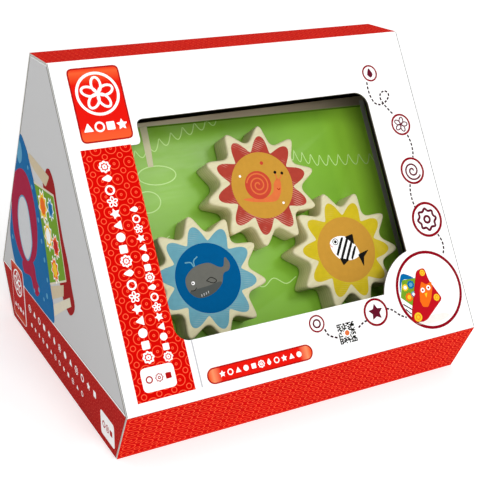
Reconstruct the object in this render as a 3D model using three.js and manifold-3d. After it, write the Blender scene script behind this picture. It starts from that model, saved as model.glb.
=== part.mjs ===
// A wooden gear toy with two rounded-triangle end boards, shown in its six-sided card carton.
// Millimetres, +Z up, -Y to the front. The origin is the middle of the carton's underside.
import * as THREE from 'three';
import { mergeVertices } from 'three/addons/utils/BufferGeometryUtils.js';
import Module from 'manifold-3d';

const wasm = await Module();
wasm.setup();

// Carton: one six-sided section along X
const cartonWidth = 240;
const cartonHeight = 209;
const topDepth = 32;
const widestDepth = 242;
const widestHeight = 37;
const baseDepth = 205;
const cardThickness = 1.2;

// Window in the front panel: its size and rise from the widest fold as shares of the panel
const windowWidthShare = 0.69;
const windowHeightShare = 0.645;
const windowRiseShare = 0.166;
const windowShift = 0.75;
const windowCorner = 9;
const tabWidth = 6.3;
const tabDrop = 14.7;
const tabCorner = 3;
const biteRadius = 33;
const biteBeyondEdge = 7.3;
const biteBelowEdge = 8.7;

// End closures of the carton
const foldGap = 0.3;
const panelClearance = 0.4;
const lidClearance = 1;
const tuckLength = 15;
const tuckSideGap = 1;
const tuckCorner = 6;
const dustFlapReach = 30;
const dustFlapLow = 18;
const dustFlapHigh = 128;
const dustFlapTaper = 12;
const glueFlapHeight = 20;
const glueFlapWidth = 200;

// End boards of the toy: three round corners joined by straight sides, clear of the carton
const endBoardThickness = 9;
const endClearance = 4.3;
const sideClearance = 3.8;
const bandClearance = 1.3;
const crownDrop = 30;
const woodEdge = 1.2;
const grooveDepth = 4;
const fitGap = 0.3;

// Boards between the end boards
const gearBoardDepth = 33.3;
const boardThickness = 6;
const boardFootGap = 0.6;
const gearBoardPastMiddle = 1.1;
const backBoardShort = 4.1;
const baseBoardThickness = 8;
const baseBoardLift = 12;
const baseBoardPastFoot = 7.2;

// Handle bar
const handleRadius = 7;
const handleRise = 7;

// Gears: pointed teeth with rounded tips and valleys
const toothCount = 10;
const toothPointShare = 0.171;
const toothValleyShare = 0.644;
const tipRounding = 6.5;
const valleyRounding = 5;
const gearThickness = 18;
const gearEdge = 1;
const runningGap = 0.3;
const redGearAcross = 2.4;
const redGearRiseShare = 0.5776;
const blueMeshSlack = 2.9;
const yellowMeshSlack = 1.2;
const blueGearBearing = 224.65;
const yellowGearBearing = 313.9;
const redGearTurn = 7.2;
const blueGearTurn = 23;
const yellowGearTurn = 28;

// Axle pegs, washers and screws of the gears
const pegRadius = 5;
const pegDepthInGear = 10;
const pegGlueGap = 0.1;
const washerRadius = 11;
const washerThickness = 1.5;
const panHeadRadius = 4.5;
const panHeadHeight = 2.6;
const panShankRadius = 1.8;
const panShankLength = 11;

// Countersunk wood screws
const screwHeadRadius = 4;
const screwHeadHeight = 2.6;
const screwShankRadius = 1.9;
const screwLength = 26;
const screwPoint = 4;
const screwSink = 0.4;
const screwClearance = 0.2;
const baseScrewSpread = 50;

// Play pieces on the outer faces of the end boards
const ringRadiusShare = 0.244;
const ringHeightShare = 0.402;
const ringThickness = 3;
const ringEdge = 1;
const lipWidth = 2.3;
const lipThickness = 0.8;
const mirrorShare = 0.706;
const mirrorThickness = 2;
const mirrorEdge = 0.4;
const mirrorFit = 0.1;
const plateWidthShare = 0.413;
const plateHeightShare = 0.46;
const plateLiftShare = 0.22;
const plateThickness = 3;
const plateEdge = 0.8;
const plateRounding = 9;
const eyeRadius = 11;
const eyeThickness = 3.5;
const eyeSpreadShare = 0.25;
const eyeHeightShare = 0.625;
const capRadius = 13;
const capThickness = 2.5;
const capEdge = 1;

// Working values
const overrun = 5;
const curveSteps = 5;
const edgeSteps = 2;
const roundSteps = 40;
const smallSteps = 24;
const tinySteps = 12;

const colours = {
  cardWhite: { color: 0xf4f3f0, roughness: 0.45, metalness: 0 },
  cardRed: { color: 0xd8230f, roughness: 0.45, metalness: 0 },
  cardGrey: { color: 0xb9b6b0, roughness: 0.8, metalness: 0 },
  blueWood: { color: 0x1f7fc0, roughness: 0.4, metalness: 0 },
  redWood: { color: 0xc4202c, roughness: 0.4, metalness: 0 },
  greenWood: { color: 0x77b52f, roughness: 0.4, metalness: 0 },
  plainWood: { color: 0xd9c49a, roughness: 0.6, metalness: 0 },
  gearWood: { color: 0xddd8b4, roughness: 0.5, metalness: 0 },
  crimson: { color: 0xb21a4a, roughness: 0.4, metalness: 0 },
  mirror: { color: 0xdfe3e6, roughness: 0.05, metalness: 1 },
  orange: { color: 0xe8761c, roughness: 0.4, metalness: 0 },
  eyeWhite: { color: 0xf2f0ea, roughness: 0.4, metalness: 0 },
  yellow: { color: 0xf2b62a, roughness: 0.4, metalness: 0 },
  paleBlue: { color: 0x8fc7e4, roughness: 0.4, metalness: 0 },
  steel: { color: 0xa8abb0, roughness: 0.35, metalness: 1 },
};

// Frames. The section plane is YZ; the front frame lies on the slanted front panel,
// with x across, y up the panel and z out of it
const sectionFrame = new THREE.Matrix4().makeBasis(
  new THREE.Vector3(0, 1, 0), new THREE.Vector3(0, 0, 1), new THREE.Vector3(1, 0, 0));
const slantRun = (widestDepth - topDepth) / 2;
const slantRise = cartonHeight - widestHeight;
const slantLength = Math.hypot(slantRun, slantRise);
const slantUp = new THREE.Vector2(slantRun, slantRise).normalize();
const frontFrame = new THREE.Matrix4().makeBasis(
  new THREE.Vector3(1, 0, 0), new THREE.Vector3(0, slantUp.x, slantUp.y),
  new THREE.Vector3(0, -slantUp.y, slantUp.x)).setPosition(0, -widestDepth / 2, widestHeight);
const halfTurn = new THREE.Matrix4().makeRotationZ(Math.PI);
const backFrame = halfTurn.clone().multiply(frontFrame);

const outerFace = cartonWidth / 2 - 2 * cardThickness - foldGap - endClearance;
const innerFace = outerFace - endBoardThickness;
const crownHeight = cartonHeight - crownDrop;
const handleHeight = crownHeight + handleRise;

// Solids
function points(pairs) {
  return pairs.map(([x, y]) => new THREE.Vector2(x, y));
}

function solidOf(geometry) {
  const bare = geometry.clone();
  bare.deleteAttribute('normal');
  bare.deleteAttribute('uv');
  const merged = mergeVertices(bare);
  return new wasm.Manifold(new wasm.Mesh({
    numProp: 3,
    vertProperties: Float32Array.from(merged.attributes.position.array),
    triVerts: Uint32Array.from(merged.index.array),
  }));
}

function geometryOf(solid) {
  const mesh = solid.getMesh();
  const geometry = new THREE.BufferGeometry();
  geometry.setAttribute('position', new THREE.BufferAttribute(mesh.vertProperties, 3));
  geometry.setIndex(new THREE.BufferAttribute(mesh.triVerts, 1));
  geometry.computeVertexNormals();
  return geometry;
}

function cut(geometry, cutters) {
  let solid = solidOf(geometry);
  for (const cutter of cutters) solid = solid.subtract(solidOf(cutter));
  return geometryOf(solid);
}

// A prism along X over a shape drawn in the YZ section
function alongX(shape, fromX, toX) {
  const options = { depth: toX - fromX, bevelEnabled: false, curveSegments: curveSteps };
  return new THREE.ExtrudeGeometry(shape, options).translate(0, 0, fromX).applyMatrix4(sectionFrame);
}

// A plate with rounded edges that rises from z = 0
function softPlate(shape, thickness, edge) {
  const options = {
    depth: thickness - 2 * edge, bevelThickness: edge, bevelSize: edge, bevelOffset: -edge,
    bevelSegments: edgeSteps, curveSegments: curveSteps,
  };
  return new THREE.ExtrudeGeometry(shape, options).translate(0, 0, edge);
}

// A round piece turned about the outward axis of an end board; height counts from the profile's foot
function turnedOut(profile, steps, side, x, y, z) {
  const geometry = new THREE.LatheGeometry(profile, steps);
  return geometry.rotateZ(-side * Math.PI / 2).translate(side * x, y, z);
}

function rectangle(width, height) {
  const half = width / 2;
  return new THREE.Shape(points([[-half, 0], [half, 0], [half, height], [-half, height]]));
}

// A closed outline whose corners are rounded by a curve that starts `cuts[i]` before each corner
function roundedOutline(corners, cuts) {
  const shape = new THREE.Shape();
  corners.forEach((corner, i) => {
    const before = corners.at(i - 1);
    const after = corners[(i + 1) % corners.length];
    const start = corner.clone().add(before.clone().sub(corner).setLength(cuts[i]));
    const end = corner.clone().add(after.clone().sub(corner).setLength(cuts[i]));
    if (i === 0) shape.moveTo(start.x, start.y);
    else shape.lineTo(start.x, start.y);
    shape.quadraticCurveTo(corner.x, corner.y, end.x, end.y);
  });
  shape.closePath();
  return shape;
}

// The outline round a set of circles, taken counter-clockwise
function outlineRound(circles) {
  const shape = new THREE.Shape();
  const normals = circles.map((from, i) => {
    const to = circles[(i + 1) % circles.length];
    const run = new THREE.Vector2(to.x - from.x, to.y - from.y);
    return run.angle() - Math.PI / 2 + Math.asin((from.r - to.r) / run.length());
  });
  circles.forEach(({ x, y, r }, i) => shape.absarc(x, y, r, normals.at(i - 1), normals[i], false));
  shape.closePath();
  return shape;
}

// Each side of a convex outline moved inwards by its own distance
function insetOutline(points, insets) {
  const lines = points.map((from, i) => {
    const along = points[(i + 1) % points.length].clone().sub(from).normalize();
    const inwards = new THREE.Vector2(-along.y, along.x);
    return { start: from.clone().addScaledVector(inwards, insets[i]), along };
  });
  return lines.map((line, i) => {
    const before = lines.at(i - 1);
    const apart = line.start.clone().sub(before.start);
    const share = apart.cross(line.along) / before.along.cross(line.along);
    return before.start.clone().addScaledVector(before.along, share);
  });
}

// Carton panels, named in the order of the section's sides
const folds = points([
  [-baseDepth / 2, 0], [baseDepth / 2, 0], [widestDepth / 2, widestHeight],
  [topDepth / 2, cartonHeight], [-topDepth / 2, cartonHeight], [-widestDepth / 2, widestHeight],
]);
const sideNames = ['bottom', 'band_back', 'back', 'top', 'front', 'band_front'];
const innerFolds = insetOutline(folds, sideNames.map(() => cardThickness));

function panelShape(side) {
  const i = sideNames.indexOf(side);
  const next = (i + 1) % folds.length;
  return new THREE.Shape([folds[i], folds[next], innerFolds[next], innerFolds[i]]);
}

function windowShape() {
  const left = windowShift - windowWidthShare * cartonWidth / 2;
  const right = windowShift + windowWidthShare * cartonWidth / 2;
  const low = windowRiseShare * slantLength;
  const high = low + windowHeightShare * slantLength;
  const biteX = right + biteBeyondEdge;
  const biteY = low - biteBelowEdge;
  const biteTop = Math.acos(-biteBeyondEdge / biteRadius);
  const biteEnd = Math.PI - Math.asin(biteBelowEdge / biteRadius);
  const shape = new THREE.Shape();
  shape.absarc(right - windowCorner, high - windowCorner, windowCorner, 0, Math.PI / 2, false);
  shape.lineTo(left + tabWidth + windowCorner / 2, high);
  shape.quadraticCurveTo(left + tabWidth, high, left + tabWidth, high - windowCorner / 2);
  shape.lineTo(left + tabWidth, high - tabDrop + tabCorner);
  shape.quadraticCurveTo(left + tabWidth, high - tabDrop, left + tabWidth - tabCorner, high - tabDrop);
  shape.lineTo(left, high - tabDrop);
  shape.absarc(left + windowCorner, low + windowCorner, windowCorner, Math.PI, 3 * Math.PI / 2, false);
  shape.absarc(biteX, biteY, biteRadius, biteEnd, biteTop, true);
  shape.closePath();
  return shape;
}

function cartonFront() {
  const panel = alongX(panelShape('front'), -cartonWidth / 2, cartonWidth / 2);
  const depth = cardThickness + 2 * overrun;
  const options = { depth, bevelEnabled: false, curveSegments: curveSteps };
  const opening = new THREE.ExtrudeGeometry(windowShape(), options);
  opening.translate(0, 0, -cardThickness - overrun).applyMatrix4(frontFrame);
  return cut(panel, [opening]);
}

function cartonWall(side) {
  return alongX(panelShape(side), -cartonWidth / 2, cartonWidth / 2);
}

function cartonBottom() {
  const reach = cartonWidth / 2 - cardThickness - foldGap;
  return alongX(panelShape('bottom'), -reach, reach);
}

// The end panel fills the tube's open end, with its fold on the underside's edge
const endInset = cardThickness + panelClearance;
const lidInset = cardThickness + lidClearance;
const endOutline = insetOutline(folds, [0, endInset, endInset, lidInset, endInset, endInset]);
const endPanelInside = cartonWidth / 2 - cardThickness;

function spanOn(side, near, far) {
  return [Math.min(side * near, side * far), Math.max(side * near, side * far)];
}

function cartonEnd(side) {
  return alongX(new THREE.Shape(endOutline), ...spanOn(side, endPanelInside, cartonWidth / 2));
}

function tuckTab(side) {
  const halfWidth = endOutline[3].x - tuckSideGap;
  const top = endOutline[3].y;
  const root = side * endPanelInside;
  const tip = side * (endPanelInside - tuckLength);
  const corners = points([[root, halfWidth], [root, -halfWidth], [tip, -halfWidth], [tip, halfWidth]]);
  const square = foldGap;
  const shape = roundedOutline(corners, [square, square, tuckCorner, tuckCorner]);
  const options = { depth: cardThickness, bevelEnabled: false, curveSegments: curveSteps };
  return new THREE.ExtrudeGeometry(shape, options).translate(0, 0, top - cardThickness);
}

// A point of the section, given up the slanted front panel and inwards from its outer face
function onSlant(rise, inwards, facing) {
  const y = -widestDepth / 2 + rise * slantUp.x + inwards * slantUp.y;
  const z = widestHeight + rise * slantUp.y - inwards * slantUp.x;
  return new THREE.Vector2(facing * y, z);
}

// The rise up the slant where a line at that depth inwards reaches a height, or a place along Y
function riseAtHeight(height, inwards) {
  return (height - widestHeight + inwards * slantUp.x) / slantUp.y;
}

function riseAtPlace(y, inwards) {
  return (y + widestDepth / 2 - inwards * slantUp.y) / slantUp.x;
}

function dustFlap(side, facing) {
  const root = cardThickness + foldGap;
  const tip = root + dustFlapReach;
  const shape = new THREE.Shape([
    onSlant(dustFlapLow, root, facing), onSlant(dustFlapHigh, root, facing),
    onSlant(dustFlapHigh - dustFlapTaper, tip, facing), onSlant(dustFlapLow + dustFlapTaper, tip, facing),
  ]);
  const outside = endPanelInside - foldGap;
  return alongX(shape, ...spanOn(side, outside - cardThickness, outside));
}

function glueFlap() {
  const low = folds[1];
  const up = folds[2].clone().sub(low).normalize();
  const inwards = new THREE.Vector2(-up.y, up.x);
  const point = (rise, depth) => low.clone().addScaledVector(up, rise).addScaledVector(inwards, depth);
  const near = cardThickness + foldGap;
  const far = near + cardThickness;
  const foot = near / Math.abs(inwards.x);
  const shape = new THREE.Shape([
    point(foot, near), point(glueFlapHeight, near), point(glueFlapHeight, far), point(foot, far),
  ]);
  return alongX(shape, -glueFlapWidth / 2, glueFlapWidth / 2);
}

// The round foot touches the carton's bottom and keeps its clearances from the band and the front.
// Its radius and its distance in from the widest fold are the two unknowns of two plane distances
const bandUp = folds[5].clone().sub(folds[0]).normalize();
const footLevel = cardThickness - widestHeight;
const bandSum = cardThickness + bandClearance + footLevel * bandUp.x;
const slantSum = cardThickness + sideClearance + footLevel * slantUp.x;
const bandPull = -bandUp.x - 1;
const slantPull = -slantUp.x - 1;
const pullTurn = bandUp.y * slantPull - slantUp.y * bandPull;
const footInwards = (bandSum * slantPull - slantSum * bandPull) / pullTurn;
const footRadius = (bandUp.y * slantSum - slantUp.y * bandSum) / pullTurn;
const footSpread = widestDepth / 2 - footInwards;
const footHeight = cardThickness + footRadius;
const crownCentreDepth = widestDepth / 2 * slantUp.y - (crownHeight - widestHeight) * slantUp.x;
const crownRadius = crownCentreDepth - cardThickness - sideClearance;

// Screws are drawn with the head's top at zero and the shank below it
function screwFlank(clearance) {
  const shank = screwShankRadius + clearance;
  return [
    [0, -screwLength - clearance], [shank, screwPoint - screwLength], [shank, -screwHeadHeight],
    [screwHeadRadius + clearance, 0],
  ];
}

const screwHeadPlace = outerFace - screwSink;

function woodScrew(side, y, z) {
  return turnedOut(points([...screwFlank(0), [0, 0]]), tinySteps, side, screwHeadPlace, y, z);
}

function woodScrewHole(side, y, z) {
  const mouth = [[screwHeadRadius + screwClearance, overrun], [0, overrun]];
  const profile = points([...screwFlank(screwClearance), ...mouth]);
  return turnedOut(profile, tinySteps, side, screwHeadPlace, y, z);
}

const baseScrewHeight = baseBoardLift + baseBoardThickness / 2;
const baseScrewPlaces = [-baseScrewSpread, baseScrewSpread];

// Boards between the end boards
const boardReach = innerFace + grooveDepth - fitGap;
const boardBack = gearBoardDepth + boardThickness;
const boardFoot = riseAtHeight(baseBoardLift + baseBoardThickness + boardFootGap, boardBack);
const gearBoardTop = riseAtPlace(gearBoardPastMiddle, boardBack);
const backBoardTop = riseAtPlace(-backBoardShort, boardBack);
const baseBoardDepth = 2 * (footSpread + baseBoardPastFoot);

function boardPlate(top) {
  const plate = softPlate(rectangle(2 * boardReach, top - boardFoot), boardThickness, woodEdge / 2);
  return plate.translate(0, boardFoot, -boardBack);
}

function boardGroove(frame, top) {
  const reach = innerFace + grooveDepth;
  const shape = rectangle(2 * reach, top - boardFoot + 2 * fitGap);
  const options = { depth: boardThickness + 2 * fitGap, bevelEnabled: false };
  const groove = new THREE.ExtrudeGeometry(shape, options);
  return groove.translate(0, boardFoot - fitGap, -boardBack - fitGap).applyMatrix4(frame);
}

function baseBoard() {
  const shape = rectangle(2 * boardReach, baseBoardDepth);
  const plate = softPlate(shape, baseBoardThickness, woodEdge).translate(0, -baseBoardDepth / 2, baseBoardLift);
  const holes = [-1, 1].flatMap((side) => baseScrewPlaces.map((y) => woodScrewHole(side, y, baseScrewHeight)));
  return cut(plate, holes);
}

function baseGroove() {
  const width = 2 * (innerFace + grooveDepth);
  const box = new THREE.BoxGeometry(width, baseBoardDepth + 2 * fitGap, baseBoardThickness + 2 * fitGap);
  return box.translate(0, 0, baseBoardLift + baseBoardThickness / 2);
}

function handleBar() {
  const bar = new THREE.CylinderGeometry(handleRadius, handleRadius, 2 * boardReach, roundSteps);
  bar.rotateZ(Math.PI / 2).translate(0, 0, handleHeight);
  return cut(bar, [-1, 1].map((side) => woodScrewHole(side, 0, handleHeight)));
}

function handleSocket() {
  const radius = handleRadius + fitGap;
  const socket = new THREE.CylinderGeometry(radius, radius, 2 * (innerFace + grooveDepth), roundSteps);
  return socket.rotateZ(Math.PI / 2).translate(0, 0, handleHeight);
}

function endBoard(side) {
  const outline = outlineRound([
    { x: -footSpread, y: footHeight, r: footRadius },
    { x: footSpread, y: footHeight, r: footRadius },
    { x: 0, y: crownHeight, r: crownRadius },
  ]);
  const [fromX] = spanOn(side, innerFace, outerFace);
  const board = softPlate(outline, endBoardThickness, woodEdge).translate(0, 0, fromX);
  board.applyMatrix4(sectionFrame);
  return cut(board, [
    boardGroove(frontFrame, gearBoardTop), boardGroove(backFrame, backBoardTop),
    baseGroove(), handleSocket(), woodScrewHole(side, 0, handleHeight),
    ...baseScrewPlaces.map((y) => woodScrewHole(side, y, baseScrewHeight)),
  ]);
}

// Play pieces of the end boards
const ringRadius = ringRadiusShare * cartonHeight;
const ringHeight = ringHeightShare * cartonHeight;
const mirrorRadius = mirrorShare * ringRadius;

function mirrorRing() {
  const bore = mirrorRadius + fitGap;
  const lip = bore - lipWidth;
  const lipFoot = ringThickness - lipThickness;
  const profile = points([
    [bore, 0], [ringRadius, 0], [ringRadius, ringThickness - ringEdge], [ringRadius - ringEdge, ringThickness],
    [lip, ringThickness], [lip, lipFoot], [bore, lipFoot], [bore, 0],
  ]);
  return turnedOut(profile, roundSteps, -1, outerFace, 0, ringHeight);
}

function disc(radius, thickness, edge) {
  return points([[0, 0], [radius, 0], [radius, thickness - edge], [radius - edge, thickness], [0, thickness]]);
}

function mirrorDisc() {
  const profile = disc(mirrorRadius, mirrorThickness, mirrorEdge);
  return turnedOut(profile, roundSteps, -1, outerFace + mirrorFit, 0, ringHeight);
}

// The plate is wide and two-peaked above and drawn in to a rounded foot
const plateWidth = plateWidthShare * widestDepth;
const plateHeight = plateHeightShare * cartonHeight;
const plateLift = plateLiftShare * cartonHeight;
const eyeSpread = eyeSpreadShare * plateWidth;
const eyeHeight = plateLift + eyeHeightShare * plateHeight;
const plateCornerShares = [
  [0, 0], [0.3, 0.1], [0.5, 0.58], [0.47, 1], [0.2, 0.86], [0, 0.78],
];

function figurePlate() {
  const right = plateCornerShares.map(([x, y]) => [x * plateWidth, plateLift + y * plateHeight]);
  const left = right.slice(1, -1).reverse().map(([x, y]) => [-x, y]);
  const corners = points([...right, ...left]);
  const shape = roundedOutline(corners, corners.map(() => plateRounding));
  const plate = softPlate(shape, plateThickness, plateEdge).translate(0, 0, outerFace).applyMatrix4(sectionFrame);
  const bore = points([[0, 0], [eyeRadius + fitGap, 0], [eyeRadius + fitGap, 2 * overrun], [0, 2 * overrun]]);
  const holes = [-eyeSpread, eyeSpread].map((y) => (
    turnedOut(bore, smallSteps, 1, outerFace - overrun, y, eyeHeight)));
  return cut(plate, holes);
}

function eyeDisc(y) {
  return turnedOut(disc(eyeRadius, eyeThickness, plateEdge), smallSteps, 1, outerFace, y, eyeHeight);
}

function cornerCap(side, y, z) {
  return turnedOut(disc(capRadius, capThickness, capEdge), smallSteps, side, outerFace, y, z);
}

// Gears, drawn about their own axis with the back face at zero
const toothPointRadius = toothPointShare * cartonWidth;
const toothValleyRadius = toothValleyShare * toothPointRadius;
const redGearRise = redGearRiseShare * slantLength;

function gearOutline() {
  const corners = [];
  const cuts = [];
  for (let i = 0; i < toothCount; i += 1) {
    const tip = 2 * Math.PI * i / toothCount;
    const valley = tip + Math.PI / toothCount;
    corners.push(new THREE.Vector2(Math.cos(tip), Math.sin(tip)).multiplyScalar(toothPointRadius));
    corners.push(new THREE.Vector2(Math.cos(valley), Math.sin(valley)).multiplyScalar(toothValleyRadius));
    cuts.push(tipRounding, valleyRounding);
  }
  return roundedOutline(corners, cuts);
}

function upright(radius, fromZ, toZ) {
  const geometry = new THREE.CylinderGeometry(radius, radius, toZ - fromZ, smallSteps);
  return geometry.rotateX(Math.PI / 2).translate(0, 0, (fromZ + toZ) / 2);
}

function gear() {
  const body = softPlate(gearOutline(), gearThickness, gearEdge);
  return cut(body, [upright(pegRadius + pegGlueGap, -overrun, pegDepthInGear)]);
}

const pegFoot = -boardThickness - 2 * runningGap;
const washerTop = pegFoot - pegGlueGap;
const panHeadTop = washerTop - washerThickness - pegGlueGap;

function axlePeg() {
  const peg = upright(pegRadius, pegFoot, pegDepthInGear - fitGap);
  const pilotTop = panHeadTop + panShankLength + fitGap;
  return cut(peg, [upright(panShankRadius + screwClearance, pegFoot - overrun, pilotTop)]);
}

function washer() {
  const bore = panShankRadius + fitGap;
  const profile = points([
    [bore, -washerThickness], [washerRadius, -washerThickness], [washerRadius, 0], [bore, 0],
    [bore, -washerThickness],
  ]);
  return new THREE.LatheGeometry(profile, smallSteps).rotateX(Math.PI / 2).translate(0, 0, washerTop);
}

function panScrew() {
  const crown = panHeadRadius / 2;
  const profile = points([
    [0, -panHeadHeight], [crown, -panHeadHeight], [panHeadRadius, -panHeadHeight / 2], [panHeadRadius, 0],
    [panShankRadius, 0], [panShankRadius, panShankLength], [0, panShankLength],
  ]);
  return new THREE.LatheGeometry(profile, tinySteps).rotateX(Math.PI / 2).translate(0, 0, panHeadTop);
}

function gearPlace(bearing, slack) {
  const spacing = toothPointRadius + toothValleyRadius + slack;
  const angle = THREE.MathUtils.degToRad(bearing);
  return [redGearAcross + spacing * Math.cos(angle), redGearRise + spacing * Math.sin(angle)];
}

const gearTrain = [
  { name: 'red', place: [redGearAcross, redGearRise], turn: redGearTurn },
  { name: 'blue', place: gearPlace(blueGearBearing, blueMeshSlack), turn: blueGearTurn },
  { name: 'yellow', place: gearPlace(yellowGearBearing, yellowMeshSlack), turn: yellowGearTurn },
];

function gearBoard() {
  const top = -gearBoardDepth + overrun;
  const bottom = -gearBoardDepth - boardThickness - overrun;
  const holes = gearTrain.map(({ place: [x, y] }) => upright(pegRadius + fitGap, bottom, top).translate(x, y, 0));
  return cut(boardPlate(gearBoardTop), holes);
}

// Assembly
function named(name, geometry, colour) {
  const mesh = new THREE.Mesh(geometry, new THREE.MeshStandardMaterial(colours[colour]));
  mesh.name = name;
  return mesh;
}

function carton() {
  const group = new THREE.Group();
  group.add(named('carton_front', cartonFront(), 'cardWhite'));
  group.add(named('carton_top', cartonWall('top'), 'cardRed'));
  group.add(named('carton_back', cartonWall('back'), 'cardWhite'));
  group.add(named('carton_band_front', cartonWall('band_front'), 'cardRed'));
  group.add(named('carton_band_back', cartonWall('band_back'), 'cardRed'));
  group.add(named('carton_bottom', cartonBottom(), 'cardWhite'));
  group.add(named('carton_glue_flap', glueFlap(), 'cardGrey'));
  for (const [sideName, side] of [['left', -1], ['right', 1]]) {
    group.add(named(`carton_end_${sideName}`, cartonEnd(side), 'cardWhite'));
    group.add(named(`carton_tuck_tab_${sideName}`, tuckTab(side), 'cardWhite'));
    group.add(named(`carton_dust_flap_front_${sideName}`, dustFlap(side, 1), 'cardWhite'));
    group.add(named(`carton_dust_flap_back_${sideName}`, dustFlap(side, -1), 'cardWhite'));
  }
  return group;
}

function toyBody() {
  const group = new THREE.Group();
  group.add(named('toy_end_left', endBoard(-1), 'blueWood'));
  group.add(named('toy_end_right', endBoard(1), 'redWood'));
  group.add(named('toy_base_board', baseBoard(), 'plainWood'));
  group.add(named('toy_handle', handleBar(), 'plainWood'));
  group.add(named('mirror_ring', mirrorRing(), 'crimson'));
  group.add(named('mirror_disc', mirrorDisc(), 'mirror'));
  group.add(named('figure_plate', figurePlate(), 'orange'));
  group.add(named('figure_disc_front', eyeDisc(-eyeSpread), 'eyeWhite'));
  group.add(named('figure_disc_back', eyeDisc(eyeSpread), 'eyeWhite'));
  const capPlaces = [['top', 0, handleHeight], ['front', -footSpread, footHeight], ['back', footSpread, footHeight]];
  for (const [sideName, side, colour] of [['left', -1, 'paleBlue'], ['right', 1, 'yellow']]) {
    for (const [place, y, z] of capPlaces) {
      group.add(named(`cap_${sideName}_${place}`, cornerCap(side, y, z), colour));
    }
    group.add(named(`screw_handle_${sideName}`, woodScrew(side, 0, handleHeight), 'steel'));
    group.add(named(`screw_base_${sideName}_front`, woodScrew(side, -baseScrewSpread, baseScrewHeight), 'steel'));
    group.add(named(`screw_base_${sideName}_back`, woodScrew(side, baseScrewSpread, baseScrewHeight), 'steel'));
  }
  return group;
}

function slantedBoards() {
  const front = new THREE.Group();
  front.applyMatrix4(frontFrame);
  front.add(named('gear_board', gearBoard(), 'greenWood'));
  for (const { name, place: [x, y], turn } of gearTrain) {
    const train = new THREE.Group();
    train.position.set(x, y, runningGap - gearBoardDepth);
    train.rotation.z = THREE.MathUtils.degToRad(turn);
    train.add(named(`gear_${name}`, gear(), 'gearWood'));
    train.add(named(`axle_peg_${name}`, axlePeg(), 'plainWood'));
    train.add(named(`axle_washer_${name}`, washer(), 'steel'));
    train.add(named(`axle_screw_${name}`, panScrew(), 'steel'));
    front.add(train);
  }
  const back = new THREE.Group();
  back.applyMatrix4(backFrame);
  back.add(named('back_board', boardPlate(backBoardTop), 'greenWood'));
  return [front, back];
}

const activityBox = new THREE.Group();
activityBox.add(carton(), toyBody(), ...slantedBoards());

export default activityBox;
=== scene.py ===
import math

import bmesh
import bpy
import numpy as np
from mathutils import Matrix, Vector


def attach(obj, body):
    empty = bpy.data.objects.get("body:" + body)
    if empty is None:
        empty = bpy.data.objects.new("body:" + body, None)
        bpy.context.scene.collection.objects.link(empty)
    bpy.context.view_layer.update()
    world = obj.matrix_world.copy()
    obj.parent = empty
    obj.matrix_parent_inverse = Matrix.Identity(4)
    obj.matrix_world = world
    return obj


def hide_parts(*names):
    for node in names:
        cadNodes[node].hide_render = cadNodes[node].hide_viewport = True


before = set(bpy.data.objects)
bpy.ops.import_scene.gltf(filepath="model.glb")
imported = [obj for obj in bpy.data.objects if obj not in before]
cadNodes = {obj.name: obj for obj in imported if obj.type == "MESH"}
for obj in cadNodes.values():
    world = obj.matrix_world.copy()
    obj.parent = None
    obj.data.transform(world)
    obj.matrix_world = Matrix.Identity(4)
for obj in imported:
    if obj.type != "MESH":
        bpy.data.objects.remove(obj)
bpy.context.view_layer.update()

millimetre = 0.001
print("frame loaded with", len(cadNodes), "nodes")

# Camera, floor and light

cameraSetup = {
    "azimuth": -28.431, "elevation": 22.115, "roll": 0.762,  # degrees
    "focalPixels": 983.2, "imagePixels": 480, "sensorWidth": 36,
    "target": (0.01287, 0, 0.07274), "distance": 0.67107,
}


def bearing(azimuth, elevation):
    # the direction from the object to a place, from its angles in degrees
    azimuth, elevation = math.radians(azimuth), math.radians(elevation)
    return Vector((math.sin(azimuth) * math.cos(elevation), -math.cos(azimuth) * math.cos(elevation),
                   math.sin(elevation)))


def makeCamera(setup):
    roll = math.radians(setup["roll"])
    back = bearing(setup["azimuth"], setup["elevation"])
    right = Vector((0, 0, 1)).cross(back).normalized()
    up = back.cross(right)
    across = right * math.cos(roll) + up * math.sin(roll)
    upward = up * math.cos(roll) - right * math.sin(roll)
    place = Vector(setup["target"]) + back * setup["distance"]
    data = bpy.data.cameras.new("photoCamera")
    data.sensor_width = setup["sensorWidth"]
    data.lens = setup["sensorWidth"] * setup["focalPixels"] / setup["imagePixels"]
    camera = bpy.data.objects.new("photoCamera", data)
    camera.matrix_world = Matrix((across, upward, back)).transposed().to_4x4()
    camera.location = place
    bpy.context.scene.collection.objects.link(camera)
    bpy.context.scene.camera = camera


studio = {
    "horizon": 0.33, "zenith": 0.6,  # the sky's light, low down and overhead
    "lights": (  # azimuth, elevation, distance, size, power
        (-8, 37, 1.3, 0.6, 6.2), (25, 41, 1.34, 0.28, 3.0)),
    "floorSize": 60.0, "floorTone": 0.93,
    "glow": (0.5, 1.6, 0.4, 0.64),  # the floor's own light: from and to which distance, and how strong there
}


def makeWorld(setup):
    # light that grows from the horizon to the zenith
    world = bpy.data.worlds.new("studioWorld")
    world.use_nodes = True
    tree = world.node_tree
    height = split(tree.nodes.new("ShaderNodeTexCoord").outputs["Generated"])[2]
    feed(tree.nodes["Background"].inputs["Strength"],
         remap(height, 0.0, 1.0, setup["horizon"], setup["zenith"], True))
    tree.nodes["Background"].inputs["Color"].default_value = (1, 1, 1, 1)
    bpy.context.scene.world = world


def makeLights(setup):
    for azimuth, elevation, distance, size, power in setup["lights"]:
        towards = bearing(azimuth, elevation)
        data = bpy.data.lights.new("studioLight", "AREA")
        data.size, data.energy = size, power
        light = bpy.data.objects.new("studioLight", data)
        light.location = Vector((0, 0, 0.08)) + towards * distance
        light.rotation_euler = towards.to_track_quat("Z", "Y").to_euler()
        bpy.context.scene.collection.objects.link(light)


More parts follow.
